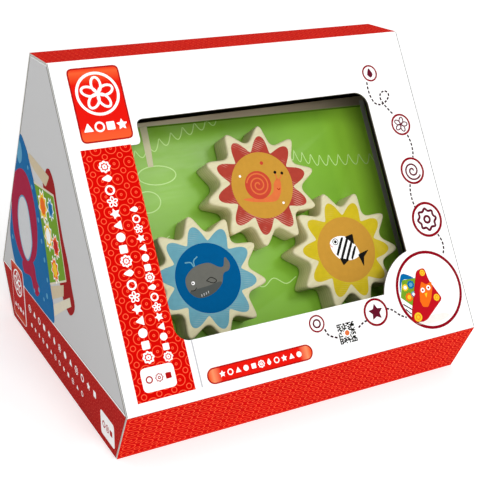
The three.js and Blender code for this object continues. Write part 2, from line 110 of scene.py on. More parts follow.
def makeFloor(setup):
    # pale floor whose own glow grows away from the object, so that it ends in plain white
    half = setup["floorSize"] / 2
    points = [(-half, -half, 0), (half, -half, 0), (half, half, 0), (-half, half, 0)]
    material, shader, point = newMaterial("floorMaterial", np.eye(4), 0.6, specular=0.0, unit=1.0)
    length = newNode("ShaderNodeVectorMath", [point], settings=[("operation", "LENGTH")]).outputs["Value"]
    shade = spread(noise(point, 1.5, 2), 0.99 * setup["floorTone"], setup["floorTone"])
    feed(shader.inputs["Base Color"], shade)
    feed(shader.inputs["Emission Strength"], remap(length, *setup["glow"], True))
    shader.inputs["Emission Color"].default_value = (1, 1, 1, 1)
    meshObject("studioFloor", points, [[0, 1, 2, 3]], [material])


makeCamera(cameraSetup)
bpy.context.scene.view_settings.view_transform = "Standard"
print("camera made")

# Flat shapes, in millimetres


def turned(points, degrees):
    angle = math.radians(degrees)
    c, s = math.cos(angle), math.sin(angle)
    return np.asarray(points, float) @ np.array([[c, s], [-s, c]])


def arc(x, y, radius, start, end, steps=12):
    # centre + radius * (cos, sin) of the angle, in degrees
    angle = np.radians(np.linspace(start, end, steps + 1))
    return np.stack([x + radius * np.cos(angle), y + radius * np.sin(angle)], 1)


def ellipse(x, y, radius, other=None, turn=0, steps=48):
    # centre + (radius * cos, other radius * sin) of the angle, closed, and turned about its centre
    angle = np.arange(steps) * 2 * math.pi / steps
    shape = np.stack([radius * np.cos(angle), (other or radius) * np.sin(angle)], 1)
    return turned(shape, turn) + (x, y)


def softened(corners, cuts, steps=6):
    # each corner turns into a quadratic curve that starts and ends `cut` away from it
    corners = np.asarray(corners, float)
    cuts = np.broadcast_to(np.asarray(cuts, float), len(corners))[:, None]
    came = corners - np.roll(corners, 1, 0)
    goes = np.roll(corners, -1, 0) - corners
    start = corners - came / np.linalg.norm(came, axis=1)[:, None] * cuts
    end = corners + goes / np.linalg.norm(goes, axis=1)[:, None] * cuts
    t = np.linspace(0, 1, steps + 1)[None, :, None]
    curve = (1 - t) ** 2 * start[:, None] + 2 * t * (1 - t) * corners[:, None] + t ** 2 * end[:, None]
    return curve.reshape(-1, 2)


def plate(left, low, right, high, rounding=0):
    corners = [(left, low), (right, low), (right, high), (left, high)]
    return softened(corners, rounding, 5) if rounding else np.array(corners, float)


def spline(points, steps=8, closed=False):
    # Catmull-Rom: a cubic through the points whose slope at each is half of the step between its neighbours
    p = np.asarray(points, float)
    p = np.vstack([p[-1:], p, p[:2]]) if closed else np.vstack([2 * p[:1] - p[1:2], p, 2 * p[-1:] - p[-2:-1]])
    a, b, c, d = p[:-3, None], p[1:-2, None], p[2:-1, None], p[3:, None]
    t = (np.arange(steps) / steps)[None, :, None]
    square, cube = 2 * a - 5 * b + 4 * c - d, 3 * b - a - 3 * c + d
    curve = (0.5 * (2 * b + (c - a) * t + square * t ** 2 + cube * t ** 3)).reshape(-1, 2)
    return curve if closed else np.vstack([curve, p[-2]])


def toothed(pointRadius, valleyRadius, tipCut, valleyCut, teeth=10, steps=8):
    # corners on two radii in turn, each softened by its own cut
    angle = np.arange(2 * teeth) * math.pi / teeth
    radius = np.where(np.arange(2 * teeth) % 2 == 0, pointRadius, valleyRadius)
    corners = np.stack([radius * np.cos(angle), radius * np.sin(angle)], 1)
    return softened(corners, np.where(np.arange(2 * teeth) % 2 == 0, tipCut, valleyCut), steps)


def area(outline, ink, level=1):
    # twice the enclosed area is the sum of x * next y - y * next x; below zero the outline runs clockwise,
    # and it is turned round, because a slab's faces point outwards only if its outline runs the other way
    outline = np.asarray(outline, float)
    x, y = outline.T
    if np.dot(x, np.roll(y, -1)) < np.dot(y, np.roll(x, -1)):
        outline = outline[::-1]
    return {"rim": outline, "ink": ink, "level": level}


def line(path, width, ink, level=1, closed=False):
    # both sides of the path, half a width along its normal
    path = np.asarray(path, float)
    along = np.roll(path, -1, 0) - np.roll(path, 1, 0) if closed else np.gradient(path, axis=0)
    sideways = np.stack([-along[:, 1], along[:, 0]], 1)
    sideways *= width / 2 / np.linalg.norm(sideways, axis=1)[:, None]
    return {"left": path + sideways, "right": path - sideways, "closed": closed, "ink": ink, "level": level}


def disc(x, y, radius, ink, level=1, steps=48):
    return area(ellipse(x, y, radius, steps=steps), ink, level)


def hoop(x, y, radius, width, ink, level=1, steps=48):
    return line(ellipse(x, y, radius, steps=steps), width, ink, level, True)


def blob(points, ink, level=1, steps=5):
    return area(spline(points, steps, True), ink, level)


def stroke(points, width, ink, level=1, steps=5):
    return line(spline(points, steps), width, ink, level)


def shifted(shapes, size, step, turn=0):
    # the same shapes in another size, turned about their origin and then moved
    for shape in shapes:
        for key in ("rim", "left", "right"):
            if key in shape:
                shape[key] = turned(shape[key] * size, turn) + step
    return shapes


def bothSides(rows):
    # each row of (across, ...) at its place on both sides of the middle, or once in the middle
    return [(side * row[0], *row[1:]) for row in rows for side in ((-1, 1) if row[0] else (1,))]


def dashes(path, width, ink, dash, gap, level=1):
    # the path is measured along its length, and each dash takes the stretch that is its own
    path = np.asarray(path, float)
    length = np.concatenate([[0], np.cumsum(np.linalg.norm(np.diff(path, axis=0), axis=1))])
    starts = np.arange(gap / 2, length[-1] - dash / 2, dash + gap)
    reach = np.minimum(dash, length[-1] - starts)  # the last dash ends with its path
    at = starts[:, None] + reach[:, None] * np.linspace(0, 1, 4)
    x, y = (np.interp(at, length, path[:, axis]) for axis in (0, 1))
    return [line(np.stack([x[i], y[i]], 1), width, ink, level) for i in range(len(starts))]


# Surfaces that carry print

# the width, and (depth, height) of the section where the carton is folded
cartonSize = {"width": 240, "base": (205, 0), "widest": (242, 37), "top": (32, 209)}
printDepth = {"sink": 0.05, "rise": 0.03}  # how far a print reaches into the card, and what each layer adds


def surfaceFrame(origin, across, up):
    # columns: across, up and outwards, with the origin in metres
    across, up = np.array(across, float), np.array(up, float)
    matrix = np.eye(4)
    matrix[:3, 0], matrix[:3, 1], matrix[:3, 2] = across, up, np.cross(across, up)
    matrix[:3, 3] = np.array(origin, float) * millimetre
    return matrix


def sloping(low, high, facing):
    # a panel that runs between two (depth, height) corners of the carton's section
    run, rise = (high[0] - low[0]) / 2, high[1] - low[1]
    length = math.hypot(run, rise)
    up = (0, -facing * run / length, rise / length)
    return surfaceFrame((0, -facing * low[0] / 2, low[1]), (facing, 0, 0), up)


halfWidth = cartonSize["width"] / 2
baseFold, wideFold, topFold = (cartonSize[key] for key in ("base", "widest", "top"))
section = [(-baseFold[0] / 2, 0)] + [(depth / 2, height) for depth, height in (baseFold, wideFold, topFold)]
section += [(-depth / 2, height) for depth, height in (topFold, wideFold)]
bandLength = math.hypot((wideFold[0] - baseFold[0]) / 2, wideFold[1])
surfaces = {
    "front": sloping(wideFold, topFold, 1), "back": sloping(wideFold, topFold, -1),
    "bandFront": sloping(baseFold, wideFold, 1), "bandBack": sloping(baseFold, wideFold, -1),
    "top": surfaceFrame((0, 0, topFold[1]), (1, 0, 0), (0, 1, 0)),
    "bottom": surfaceFrame((0, 0, 0), (1, 0, 0), (0, -1, 0)),
    "left": surfaceFrame((-halfWidth, 0, 0), (0, -1, 0), (0, 0, 1)),
    "right": surfaceFrame((halfWidth, 0, 0), (0, 1, 0), (0, 0, 1)),
}


def inside(surface, x, y, z, turn=0):
    # a frame that lies in another one, moved and turned in its plane
    angle = math.radians(turn)
    local = np.eye(4)
    local[:2, :2] = [[math.cos(angle), -math.sin(angle)], [math.sin(angle), math.cos(angle)]]
    local[:3, 3] = np.array([x, y, z]) * millimetre
    return surface @ local


def meshObject(name, points, faces, materials, picks=None, smooth=None):
    mesh = bpy.data.meshes.new(name)
    mesh.from_pydata(np.asarray(points).tolist(), [], faces)
    for material in materials:
        mesh.materials.append(material)
    if picks is not None:
        mesh.polygons.foreach_set("material_index", np.asarray(picks, np.int32))
    if smooth is not None:
        mesh.polygons.foreach_set("use_smooth", np.ones(len(mesh.polygons), bool))
        mesh.set_sharp_from_angle(angle=math.radians(smooth))
    mesh.update()
    piece = bpy.data.objects.new(name, mesh)
    bpy.context.scene.collection.objects.link(piece)
    return piece


def slabFaces(shape, first):
    # a shape between two levels, as faces that count from its first point: top, underside, sides
    if "rim" in shape:
        n = len(shape["rim"])
        top = np.arange(n) + first
        after = np.roll(top, -1)
        walls = np.stack([top + n, after + n, after, top], 1)
        return [top.tolist(), (top + n)[::-1].tolist()] + walls.tolist()
    m = len(shape["left"])
    k = np.arange(m if shape["closed"] else m - 1)
    after = (k + 1) % m
    left, right, low = first, first + m, 2 * m
    faces = [np.stack([right + k, right + after, left + after, left + k], 1),
             np.stack([left + k, left + after, right + after, right + k], 1) + low,
             np.stack([right + low + k, right + low + after, right + after, right + k], 1),
             np.stack([left + k, left + after, left + low + after, left + low + k], 1)]
    quads = np.concatenate(faces).tolist()
    if not shape["closed"]:
        quads += [[right + low, right, left, left + low],
                  [right + low + m - 1, left + low + m - 1, left + m - 1, right + m - 1]]
    return quads


def printPiece(name, surface, shapes, inks, body):
    # every shape is a thin closed slab from just under the surface to its own level above it
    points, faces, picks, used = [], [], [], sorted({shape["ink"] for shape in shapes})
    count = 0
    for shape in shapes:
        flat = shape["rim"] if "rim" in shape else np.vstack([shape["left"], shape["right"]])
        high = np.full((len(flat), 1), shape["level"] * printDepth["rise"])
        points += [np.hstack([flat, high]), np.hstack([flat, 0 * high - printDepth["sink"]])]
        made = slabFaces(shape, count)
        faces += made
        picks += [used.index(shape["ink"])] * len(made)
        count += 2 * len(flat)
    placed = np.vstack(points) * millimetre @ surface[:3, :3].T + surface[:3, 3]
    piece = meshObject(name, placed, faces, [inks[ink] for ink in used], picks)
    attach(piece, body)


# Materials


def tone(red, green, blue):
    # a colour as a screen shows it, 0 to 255, turned into linear light
    value = np.array([red, green, blue]) / 255
    linear = np.where(value <= 0.04045, value / 12.92, ((value + 0.055) / 1.055) ** 2.4)
    return (*(float(v) for v in linear), 1.0)


def newMaterial(name, surface, roughness=0.5, metallic=0.0, specular=0.5, unit=millimetre):
    # a material, its shader, and the shaded point in the surface's own across, up and out, in millimetres
    material = bpy.data.materials.new(name)
    material.use_nodes = True
    nodes = material.node_tree.nodes
    shader = nodes["Principled BSDF"]
    for key, value in (("Roughness", roughness), ("Metallic", metallic), ("Specular IOR Level", specular)):
        shader.inputs[key].default_value = value
    mapping = nodes.new("ShaderNodeMapping")
    mapping.vector_type = "TEXTURE"
    matrix = Matrix(surface.tolist())
    place = nodes.new("ShaderNodeTexCoord").outputs["Object"]
    values = (place, matrix.to_translation(), matrix.to_euler("XYZ"), (unit,) * 3)
    for key, value in zip(("Vector", "Location", "Rotation", "Scale"), values):
        feed(mapping.inputs[key], value)
    return material, shader, mapping.outputs[0]


def feed(socket, value):
    # a node's output goes into the socket as a link, and a number or colour as its own value
    if isinstance(value, bpy.types.NodeSocket):
        socket.id_data.links.new(value, socket)
    else:
        socket.default_value = value


def newNode(kind, values, places=None, settings=()):
    # a node in the tree that its values come from; they go into its first inputs, or into the given ones
    tree = next(value.id_data for value in values if isinstance(value, bpy.types.NodeSocket))
    node = tree.nodes.new(kind)
    for setting, value in settings:
        setattr(node, setting, value)
    for place, value in zip(places or range(len(values)), values):
        feed(node.inputs[place], value)
    return node


def calc(operation, *values):
    return newNode("ShaderNodeMath", values, settings=[("operation", operation)]).outputs[0]


def remap(value, fromLow, fromHigh, toLow=0.0, toHigh=1.0, smooth=False):
    kind = "SMOOTHSTEP" if smooth else "LINEAR"
    return newNode("ShaderNodeMapRange", (value, fromLow, fromHigh, toLow, toHigh),
                   settings=[("interpolation_type", kind)]).outputs[0]


def spread(value, low, high):
    # noise hardly leaves 0.3 to 0.7, and that stretch is drawn out from low to high
    return remap(value, 0.3, 0.7, low, high)


def blend(share, first, second, mode="MIX"):
    return newNode("ShaderNodeMix", (share, first, second), (0, 6, 7),
                   [("data_type", "RGBA"), ("blend_type", mode)]).outputs[2]


def tinted(colour, factor):
    return blend(1.0, colour, factor, "MULTIPLY")


def away(value, middle):
    # how far the value lies from the middle, on either side of it
    return calc("ABSOLUTE", calc("SUBTRACT", value, middle))


def repeating(value, pitch):
    # how far the value is through its stretch of one pitch, 0 to 1
    return calc("FRACT", calc("DIVIDE", value, pitch))


def weighted(first, firstShare, second, secondShare):
    # the sum of two values, each times its own share
    return calc("ADD", calc("MULTIPLY", first, firstShare), calc("MULTIPLY", second, secondShare))


def ramp(value, stops):
    node = newNode("ShaderNodeValToRGB", [value])
    elements = node.color_ramp.elements
    while len(elements) < len(stops):
        elements.new(0.5)
    for element, (place, colour) in zip(elements, stops):
        element.position, element.color = place, colour
    return node.outputs[0]


def split(vector):
    return newNode("ShaderNodeSeparateXYZ", [vector]).outputs


def noise(vector, scale, detail=2.0, stretch=None):
    if stretch is not None:
        vector = newNode("ShaderNodeMapping", (vector, stretch), ("Vector", "Scale")).outputs[0]
    node = newNode("ShaderNodeTexNoise", (vector, scale, detail), ("Vector", "Scale", "Detail"))
    return node.outputs["Fac"]


def bump(shader, height, strength, distance):
    values = (height, strength, distance * millimetre)
    node = newNode("ShaderNodeBump", values, ("Height", "Strength", "Distance"))
    feed(shader.inputs["Normal"], node.outputs[0])


makeWorld(studio)
makeLights(studio)
makeFloor(studio)
print("light and floor made")

cardLook = {
    "white": tone(248, 248, 247), "raw": tone(116, 108, 97), "flapRaw": tone(186, 178, 163),
    "cutEdge": tone(214, 211, 204), "fibres": (0.9, 4, (1, 0.25, 1)), "fibreShade": 0.8,
    "roughness": 0.5, "roughnesses": (0.45, 0.57), "specular": 0.012,
    "grain": 1.6, "grainDepth": 0.02, "wave": 0.02, "waveDepth": 0.6, "relief": (0.35, 1.0),
    "cutReach": (0.2, 0.1), "printReach": (-0.09, -0.03),  # where the cut edge and the print begin
    # how uneven each cover is: scale of the noise, the factors on the colour between which it goes, and
    # the noise's detail where it isn't 2
    "whiteCover": (0.03, 0.985, 1.0), "patternCover": (0.05, 0.96, 1.04), "inkCover": (0.35, 0.97, 1.03, 3),
}
endGround = {
    "from": 30, "to": 200, "stops": ((0.0, tone(199, 199, 199)), (1.0, tone(207, 207, 207))),
    "edge": (2.45, 2.3), "gapShadeColour": tone(70, 74, 72),  # the dark line in from each slope, painted shade of the gap at the edge
}
patternLook = {
    "ground": tone(206, 4, 0), "lineColour": tone(246, 88, 56), "pitch": 9.0, "stretch": 1.0, "ring": 3.1,
    "inner": 1.5, "dot": 0.4, "lineWidth": 0.4, "lineFade": (-0.05, 0.12),
    # the dark red line along the folds is painted shade in the crease: its colour, its width, and the share
    # of that width that is fully dark
    "paintedFoldShade": tone(138, 12, 8), "foldShadeWidth": 0.45, "foldShadeCore": 0.3,
}
bandLook = {**patternLook, "ground": tone(198, 2, 0), "lineColour": tone(236, 76, 44), "pitch": 6.8,
            "stretch": 1.6, "ring": 2.4, "inner": 1.1}
topLook = {**bandLook, "ground": tone(216, 5, 0), "lineColour": tone(242, 66, 38)}
endLook = {**bandLook, "ground": tone(172, 6, 2), "lineColour": tone(190, 44, 30)}


def cardFinish(shader, point):
    # fine paper grain over a slow wave of the sheet
    grain = noise(point, cardLook["grain"], 3)
    wave = noise(point, cardLook["wave"], 1)
    bump(shader, weighted(grain, cardLook["grainDepth"], wave, cardLook["waveDepth"]), *cardLook["relief"])
    feed(shader.inputs["Roughness"], spread(grain, *cardLook["roughnesses"]))


def ringLattice(x, y, look, radius):
    # distance from the middle of the nearest cell, kept where it is about the ring's radius
    squares = []
    for along in (x, y):
        cell = calc("SUBTRACT", repeating(along, look["pitch"]), 0.5)
        squares.append(calc("MULTIPLY", cell, cell))
    distance = calc("MULTIPLY", calc("SQRT", calc("ADD", *squares)), look["pitch"])
    edge = (look["lineWidth"] / 2 + fade for fade in look["lineFade"])
    return remap(away(distance, radius), *edge, 1.0, 0.0, True)


def ringPattern(x, y, look):
    # large rings with a small one in their middle, and rings of a third size half a pitch away in both ways
    x = calc("DIVIDE", x, look["stretch"])
    large = ringLattice(x, y, look, look["ring"])
    movedX, movedY = (calc("ADD", along, look["pitch"] / 2) for along in (x, y))
    small = ringLattice(movedX, movedY, look, look["inner"])
    dot = ringLattice(x, y, look, look["dot"] * look["inner"])
    return calc("MAXIMUM", calc("MAXIMUM", large, small), dot)


def uneven(point, colour, scale, low, high, detail=2.0):
    # a colour times slow noise that runs from low to high
    return tinted(colour, spread(noise(point, scale, detail), low, high))


def patternColour(point, look):
    # the pattern's lines on its ground, with slightly uneven cover
    across, up, _ = split(point)
    marks = ringPattern(across, up, look)
    return uneven(point, blend(marks, look["ground"], look["lineColour"]), *cardLook["patternCover"])


def printedMaterial(name, surface, colourOf):
    # any printed colour, on the paper's own grain
    material, shader, point = newMaterial(name, surface, cardLook["roughness"], specular=cardLook["specular"])
    feed(shader.inputs["Base Color"], colourOf(point))
    cardFinish(shader, point)
    return material


def cardMaterial(name, surface, colourOf, raw="raw"):
    # the printed side shows its colour, and the cut edges and the inner side are raw board
    def colour(point):
        across, _, out = split(point)
        fibres = noise(point, *cardLook["fibres"])
        outer = remap(calc("ABSOLUTE", across), *(halfWidth - reach for reach in cardLook["cutReach"]))
        board = blend(outer, cardLook[raw], cardLook["cutEdge"])
        board = tinted(board, spread(fibres, 1.0, cardLook["fibreShade"]))
        return blend(remap(out, *cardLook["printReach"], smooth=True), board, colourOf(point))
    return printedMaterial(name, surface, colour)


def whiteCard(point):
    return uneven(point, cardLook["white"], *cardLook["whiteCover"])


def redCard(low, high, look):
    # the pattern, with a darker line painted along both long folds as the shade in their creases
    def colour(point):
        up = split(point)[1]
        nearest = calc("MINIMUM", away(up, low), away(up, high))
        fold = remap(nearest, look["foldShadeCore"] * look["foldShadeWidth"], look["foldShadeWidth"], 1.0, 0.0, True)
        return blend(fold, patternColour(point, look), look["paintedFoldShade"])
    return colour


def endCard(point):
    # pale grey ground that is lighter at the top, and a dark line painted along both slopes as the shade of
    # the gap at the edge
    across, up, _ = split(point)
    ground = ramp(remap(up, endGround["from"], endGround["to"]), endGround["stops"])
    slope = (wideFold[0] - topFold[0]) / 2 / (topFold[1] - wideFold[1])
    reach = calc("ADD", calc("ABSOLUTE", across), calc("MULTIPLY", up, slope))
    edge = wideFold[0] / 2 + wideFold[1] * slope
    cut = remap(reach, *(edge - inset for inset in endGround["edge"]), smooth=True)
    return blend(cut, ground, endGround["gapShadeColour"])


def inkMaterial(name, colour):
    # a printed colour with slightly uneven cover
    return printedMaterial(name, np.eye(4), lambda point: uneven(point, colour, *cardLook["inkCover"]))


def fadingInk(name, surface, axis, stops):
    # the colour runs along one axis of the surface: stops are (millimetres, colour)
    low, high = stops[0][0], stops[-1][0]

    def colour(point):
        value = remap(split(point)[axis], low, high)
        return ramp(value, [((place - low) / (high - low), shade) for place, shade in stops])
    return printedMaterial(name, surface, colour)


def patternInk(name, surface, look):
    return printedMaterial(name, surface, lambda point: patternColour(point, look))


inkTones = {
    "white": tone(252, 252, 251), "darkRed": tone(170, 18, 18), "ringRed": tone(138, 8, 26),
    "dashBrown": tone(44, 14, 26), "paleLine": tone(190, 189, 194), "black": tone(24, 22, 20),
    "blue": tone(4, 102, 160), "paleBlue": tone(92, 158, 192), "crimson": tone(164, 16, 60),
    "green": tone(112, 156, 38), "yellow": tone(240, 196, 44), "orange": tone(236, 106, 24),
    "beige": tone(206, 190, 160), "clipRed": tone(186, 18, 30), "grey": tone(206, 208, 210),
    "cream": tone(220, 212, 190), "plateRed": tone(222, 22, 12), "petalRed": tone(168, 62, 50),
    # the fold grey is painted shade, for the lines along the carton's side edges
    "iconDark": tone(96, 20, 40), "fold": tone(118, 120, 120), "shade": tone(236, 232, 226),
    "petalBlue": tone(102, 157, 172), "petalYellow": tone(198, 176, 34), "discOrange": tone(193, 143, 54),
    "discBlue": tone(0, 84, 136), "faceRed": tone(194, 68, 50), "whaleGrey": tone(102, 102, 96),
    "bellyGrey": tone(76, 80, 78), "dimGrey": tone(120, 122, 120), "farRed": tone(152, 10, 14),
    "coral": tone(216, 112, 62),
}
inks = {name: inkMaterial("ink" + name[0].upper() + name[1:], colour) for name, colour in inkTones.items()}
print("inks mixed:", len(inks))

# Carton


def repaint(nodeName, material):
    cadNodes[nodeName].data.materials.clear()
    cadNodes[nodeName].data.materials.append(material)


for nodeName, surfaceName, colourOf, raw in (
        ("carton_front", "front", whiteCard, "raw"), ("carton_back", "back", whiteCard, "raw"),
        ("carton_top", "top", redCard(-topFold[0] / 2, topFold[0] / 2, topLook), "raw"),
        ("carton_band_front", "bandFront", redCard(0, bandLength, bandLook), "raw"),
        ("carton_band_back", "bandBack", redCard(0, bandLength, bandLook), "raw"),
        ("carton_bottom", "bottom", whiteCard, "flapRaw"), ("carton_end_left", "left", endCard, "flapRaw"),
        ("carton_end_right", "right", endCard, "flapRaw")):
    repaint(nodeName, cardMaterial(nodeName + "Card", surfaces[surfaceName], colourOf, raw))

# card below its printed surface is raw, and card above it is white all over
rawCard = cardMaterial("rawCard", inside(surfaces["top"], 0, 0, 1), whiteCard, "flapRaw")
foldedCard = cardMaterial("foldedCard", inside(surfaces["top"], 0, 0, -20), whiteCard)
for nodeName in cadNodes:
    if "tuck" in nodeName or "dust" in nodeName or "glue" in nodeName:
        repaint(nodeName, rawCard)

windowEdge = {"left": -82.05, "low": 33.45, "corner": 9}
frontPrint = {
    "blockLeft": -112.2, "blockRight": -77.6, "blockLow": 6.3, "blockHigh": 149.3,
    "plate": (-110.2, 152.8, -79.0, 197.0), "plateRounding": 3.6, "plateOutline": 0.9,
    "agePlate": (-107.2, 10.8, -87.4, 24.2), "agePlateRounding": 3,
    "sign": (181, 10.6, 12.2, 1.6),  # height, size, radius of its ring, the ring's width
    "signRow": ((-104.6, -97.8, -91.2, -84.4), 161.6, 3.5),  # places across, height, size
    "pill": (-69.3, 6.2, 0.2, 15.6), "pillOutline": 0.8, "paleLine": ((-73.4, 6.4), (-73.4, 33.3)),
    "pillKinds": ("star", "ring", "triangle", "disc", "block", "cog", "drop", "ring", "star", "triangle",
                  "disc"),
    "pillRow": (9.6, 5.05, 2.1),  # from the pill's left end, step, size
    # grey lines painted along both side edges of the panel: painted shade at the carton's edges
    "endFoldShades": (0.3, 0.4, 201, 0.4),  # in from the panel's edge, from, to, width
    "rows": ((-100.4, 29.5, 138.5, 17, 3.3), (-89.0, 27.5, 112.0, 16, 2.7)),  # across, from, to, count, size
    "picture": (93.0, 30.1, 25.1, 1.9),  # centre, radius, width of its ring
    "circles": ((90.7, 175.0, 5.6, 1.1, "drop", 0.62), (104.4, 138.5, 7.3, 1.3, "petals", 0.74),
                (103.9, 107.2, 9.0, 1.45, "spiral", 0.78), (105.3, 74.3, 11.6, 1.7, "cog", 0.66),
                (49.8, 24.2, 8.7, 1.45, "star", 0.62), (7.4, 25.8, 5.3, 1.0, "ring", 0.6)),
    "dashWidth": 1.1, "dash": 1.95, "dashGap": 0.95, "checker": (26.3, 16.2, 12.2, 17),
}
dashPaths = [
    [(86.8, 169.8), (86.4, 164.5), (86.7, 159.9), (88.6, 155.2), (91.9, 153.5), (95.3, 154.0),
     (98.6, 155.9), (100.9, 158.9), (100.3, 161.3), (98.0, 162.0), (95.2, 160.9), (93.9, 158.0),
     (95.1, 154.0), (97.6, 150.0), (100.2, 146.4)],
    [(107.3, 131.6), (108.5, 125.7), (108.2, 119.6), (107.1, 115.8)],
    [(99.6, 99.2), (98.2, 94.2), (97.9, 88.4), (98.6, 83.0)],
    [(110.4, 64.0), (112.3, 59.0), (112.4, 54.6), (110.8, 50.4)],
    [(57.6, 25.0), (61.8, 23.1), (66.6, 18.9), (71.0, 16.4)],
    [(42.6, 20.6), (38.8, 19.6), (33.4, 16.6)],
    [(11.6, 22.0), (13.6, 17.4), (19.6, 14.4)],
]


def pictogram(kind, x, y, size, ink, level, turn=0, bold=0.2):
    # a small plain toy shape, drawn in a circle of radius one and put in its place
    spread = np.linspace(0.1, 0.9, 40)[:, None]
    drop = [(0, 0.95), (0.5, 0.1), (0.55, -0.35), (0, -0.85), (-0.55, -0.35), (-0.5, 0.1)]
    drawn = {
        "ring": lambda: [hoop(0, 0, 0.72, 0.32, ink, level)],
        "disc": lambda: [disc(0, 0, 0.8, ink, level)],
        "cog": lambda: [line(toothed(1.0, 0.72, 0.16, 0.12, 8, 3), bold, ink, level, True),
                        hoop(0, 0, 0.28, bold, ink, level)],
        "block": lambda: [area(plate(-0.7, -0.7, 0.7, 0.7, 0.2), ink, level)],
        "triangle": lambda: [area(softened([(-0.85, -0.65), (0.85, -0.65), (0, 0.85)], 0.22), ink, level)],
        "star": lambda: [area(turned(toothed(1.0, 0.5, 0.12, 0.05, 5, 3), 18), ink, level)],
        "drop": lambda: [blob(drop, ink, level)],
        "spiral": lambda: [line(arc(0, 0, 1, 0, math.degrees(12), 39) * spread, 0.8 * bold, ink, level)],
        "petals": lambda: [line(turned(ellipse(0.5, 0, 0.42, 0.26, 0, 20), 72 * k), 0.7 * bold, ink,
                                level + 0.2 * k, True) for k in range(5)],
    }
    return shifted(drawn[kind](), size, (x, y), turn)


def rowOfSigns(kinds, places, height, size, ink="white", level=2, turn=0, bold=0.2):
    return [shape for kind, x in zip(kinds, places)
            for shape in pictogram(kind, x, height, size, ink, level, turn, bold)]


def pictureCircle(x, y, radius, ring):
    return [disc(x, y, radius, "white", 1, 64), hoop(x, y, radius - ring / 2, ring, "ringRed", 2, 64)]


def checkerPatch(x, y, side, cells, seed):
    # a plain random checker, one square area a cell
    pick = np.random.default_rng(seed).random((cells, cells)) < 0.52
    pick[:3, :3] = pick[-3:, :3] = pick[:3, -3:] = True
    pick[1, 1] = pick[-2, 1] = pick[1, -2] = False
    step = side / cells
    cell = plate(x - side / 2, y - side / 2, x - side / 2 + step, y - side / 2 + step)
    return [area(cell + (i * step, j * step), "black") for i, j in np.argwhere(pick)] + [
        disc(x, y, 0.19 * side, "white", 2, 24), disc(x, y, 0.13 * side, "coral", 3, 24)]


def titleBlock(look, notch):
    # the patterned block follows the window's lower left corner, where the notch says so
    left, right, low, high = (look[key] for key in ("blockLeft", "blockRight", "blockLow", "blockHigh"))
    if not notch:
        return plate(left, low, right, high)
    centreX, centreY = windowEdge["left"] + windowEdge["corner"], windowEdge["low"] + windowEdge["corner"]
    reach = math.degrees(math.acos((right - centreX) / windowEdge["corner"]))
    corner = arc(centreX, centreY, windowEdge["corner"], 360 - reach, 180, 10)
    return np.vstack([[(left, low), (right, low)], corner, [(windowEdge["left"], high), (left, high)]])


def signShapes(look, notch):
    # patterned block, plain plate, white plate and the rows of small toy shapes on them
    left, low, right, high = look["plate"]
    rounding, rim = look["plateRounding"], look["plateOutline"]
    signHeight, signSize, ringSize, ringWidth = look["sign"]
    middle = (left + right) / 2
    shapes = [area(titleBlock(look, notch), "pattern"),
              area(plate(left, low, right, high, rounding), "darkRed"),
              area(plate(left + rim, low + rim, right - rim, high - rim, rounding - rim), "plateFade", 2),
              area(plate(*look["agePlate"], look["agePlateRounding"]), "white", 2)]
    shapes += pictogram("petals", middle, signHeight, signSize, "white", 3, 18)
    shapes.append(hoop(middle, signHeight, ringSize, ringWidth, "white", 3, 64))
    shapes += rowOfSigns(("triangle", "ring", "block", "star"), *look["signRow"], "white", 3)
    ageLeft, ageLow, ageRight, ageHigh = look["agePlate"]
    places = ageLeft + np.array([0.22, 0.52, 0.8]) * (ageRight - ageLeft)
    shapes += rowOfSigns(("ring", "cog", "block"), places, (ageLow + ageHigh) / 2, 2.4, "darkRed", 3)
    rowKinds = ("cog", "triangle", "ring", "block", "star", "drop", "disc", "petals")
    for across, start, end, count, size in look["rows"]:
        for number, height in enumerate(np.linspace(start, end, count)):
            kind = rowKinds[3 * number % len(rowKinds)]
            shapes += pictogram(kind, across, height, size, "white", 2, 90, 0.3)
    return shapes


frontToy = {
    "blueBoard": [(-18.8, 12.1), (-16.1, 13.3), (-10, 9.8), (-11.1, 8.7), (-18.1, 9.4), (-21.9, 2.2),
                  (-21.1, 7.3)],
    "greenBoard": [(-18.5, 9.5), (-8.1, 9.1), (-15.1, -8.1), (-22.6, -0.9)],
    "redBoard": [(-5.4, 13.7), (0.1, 14.3), (1.4, 5.7), (7.9, -7.4), (-8.2, -18.7), (-18, -17.5),
                 (-16.8, -11.9), (-11, 1.4)],
    "plate": [(-4.7, 6.1), (-1.5, 3.5), (3, 4.7), (2.3, 0.1), (-0.5, -6), (-4.3, -10.5), (-8.1, -9.8),
              (-9.2, -5.6), (-7.5, 0.7)],
    "caps": ((-2.2, 11.3, 2.0), (-13.6, -15.2, 2.9), (3.8, -5.9, 2.2)),
    "gears": ((-17.6, 4.6, 2.6, "yellow", "white"), (-13.0, 5.6, 3.1, "blue", "paleBlue"),
              (-16.4, -1.8, 3.2, "orange", "yellow"), (-12.6, -0.6, 2.2, "paleBlue", "white")),
    "eyes": ((-5.2, 0.5), (-0.5, 1.3)), "eye": 1.6, "beak": [(-4.6, -1.9), (-2.2, -1.6), (-3.9, -4.6)],
    "bars": (((-22, -5.3), (-16.2, -10.1)), ((-21.2, -8.6), (-17.9, -12.4))), "shade": (-3, -18.4, 13, 2.6),
}


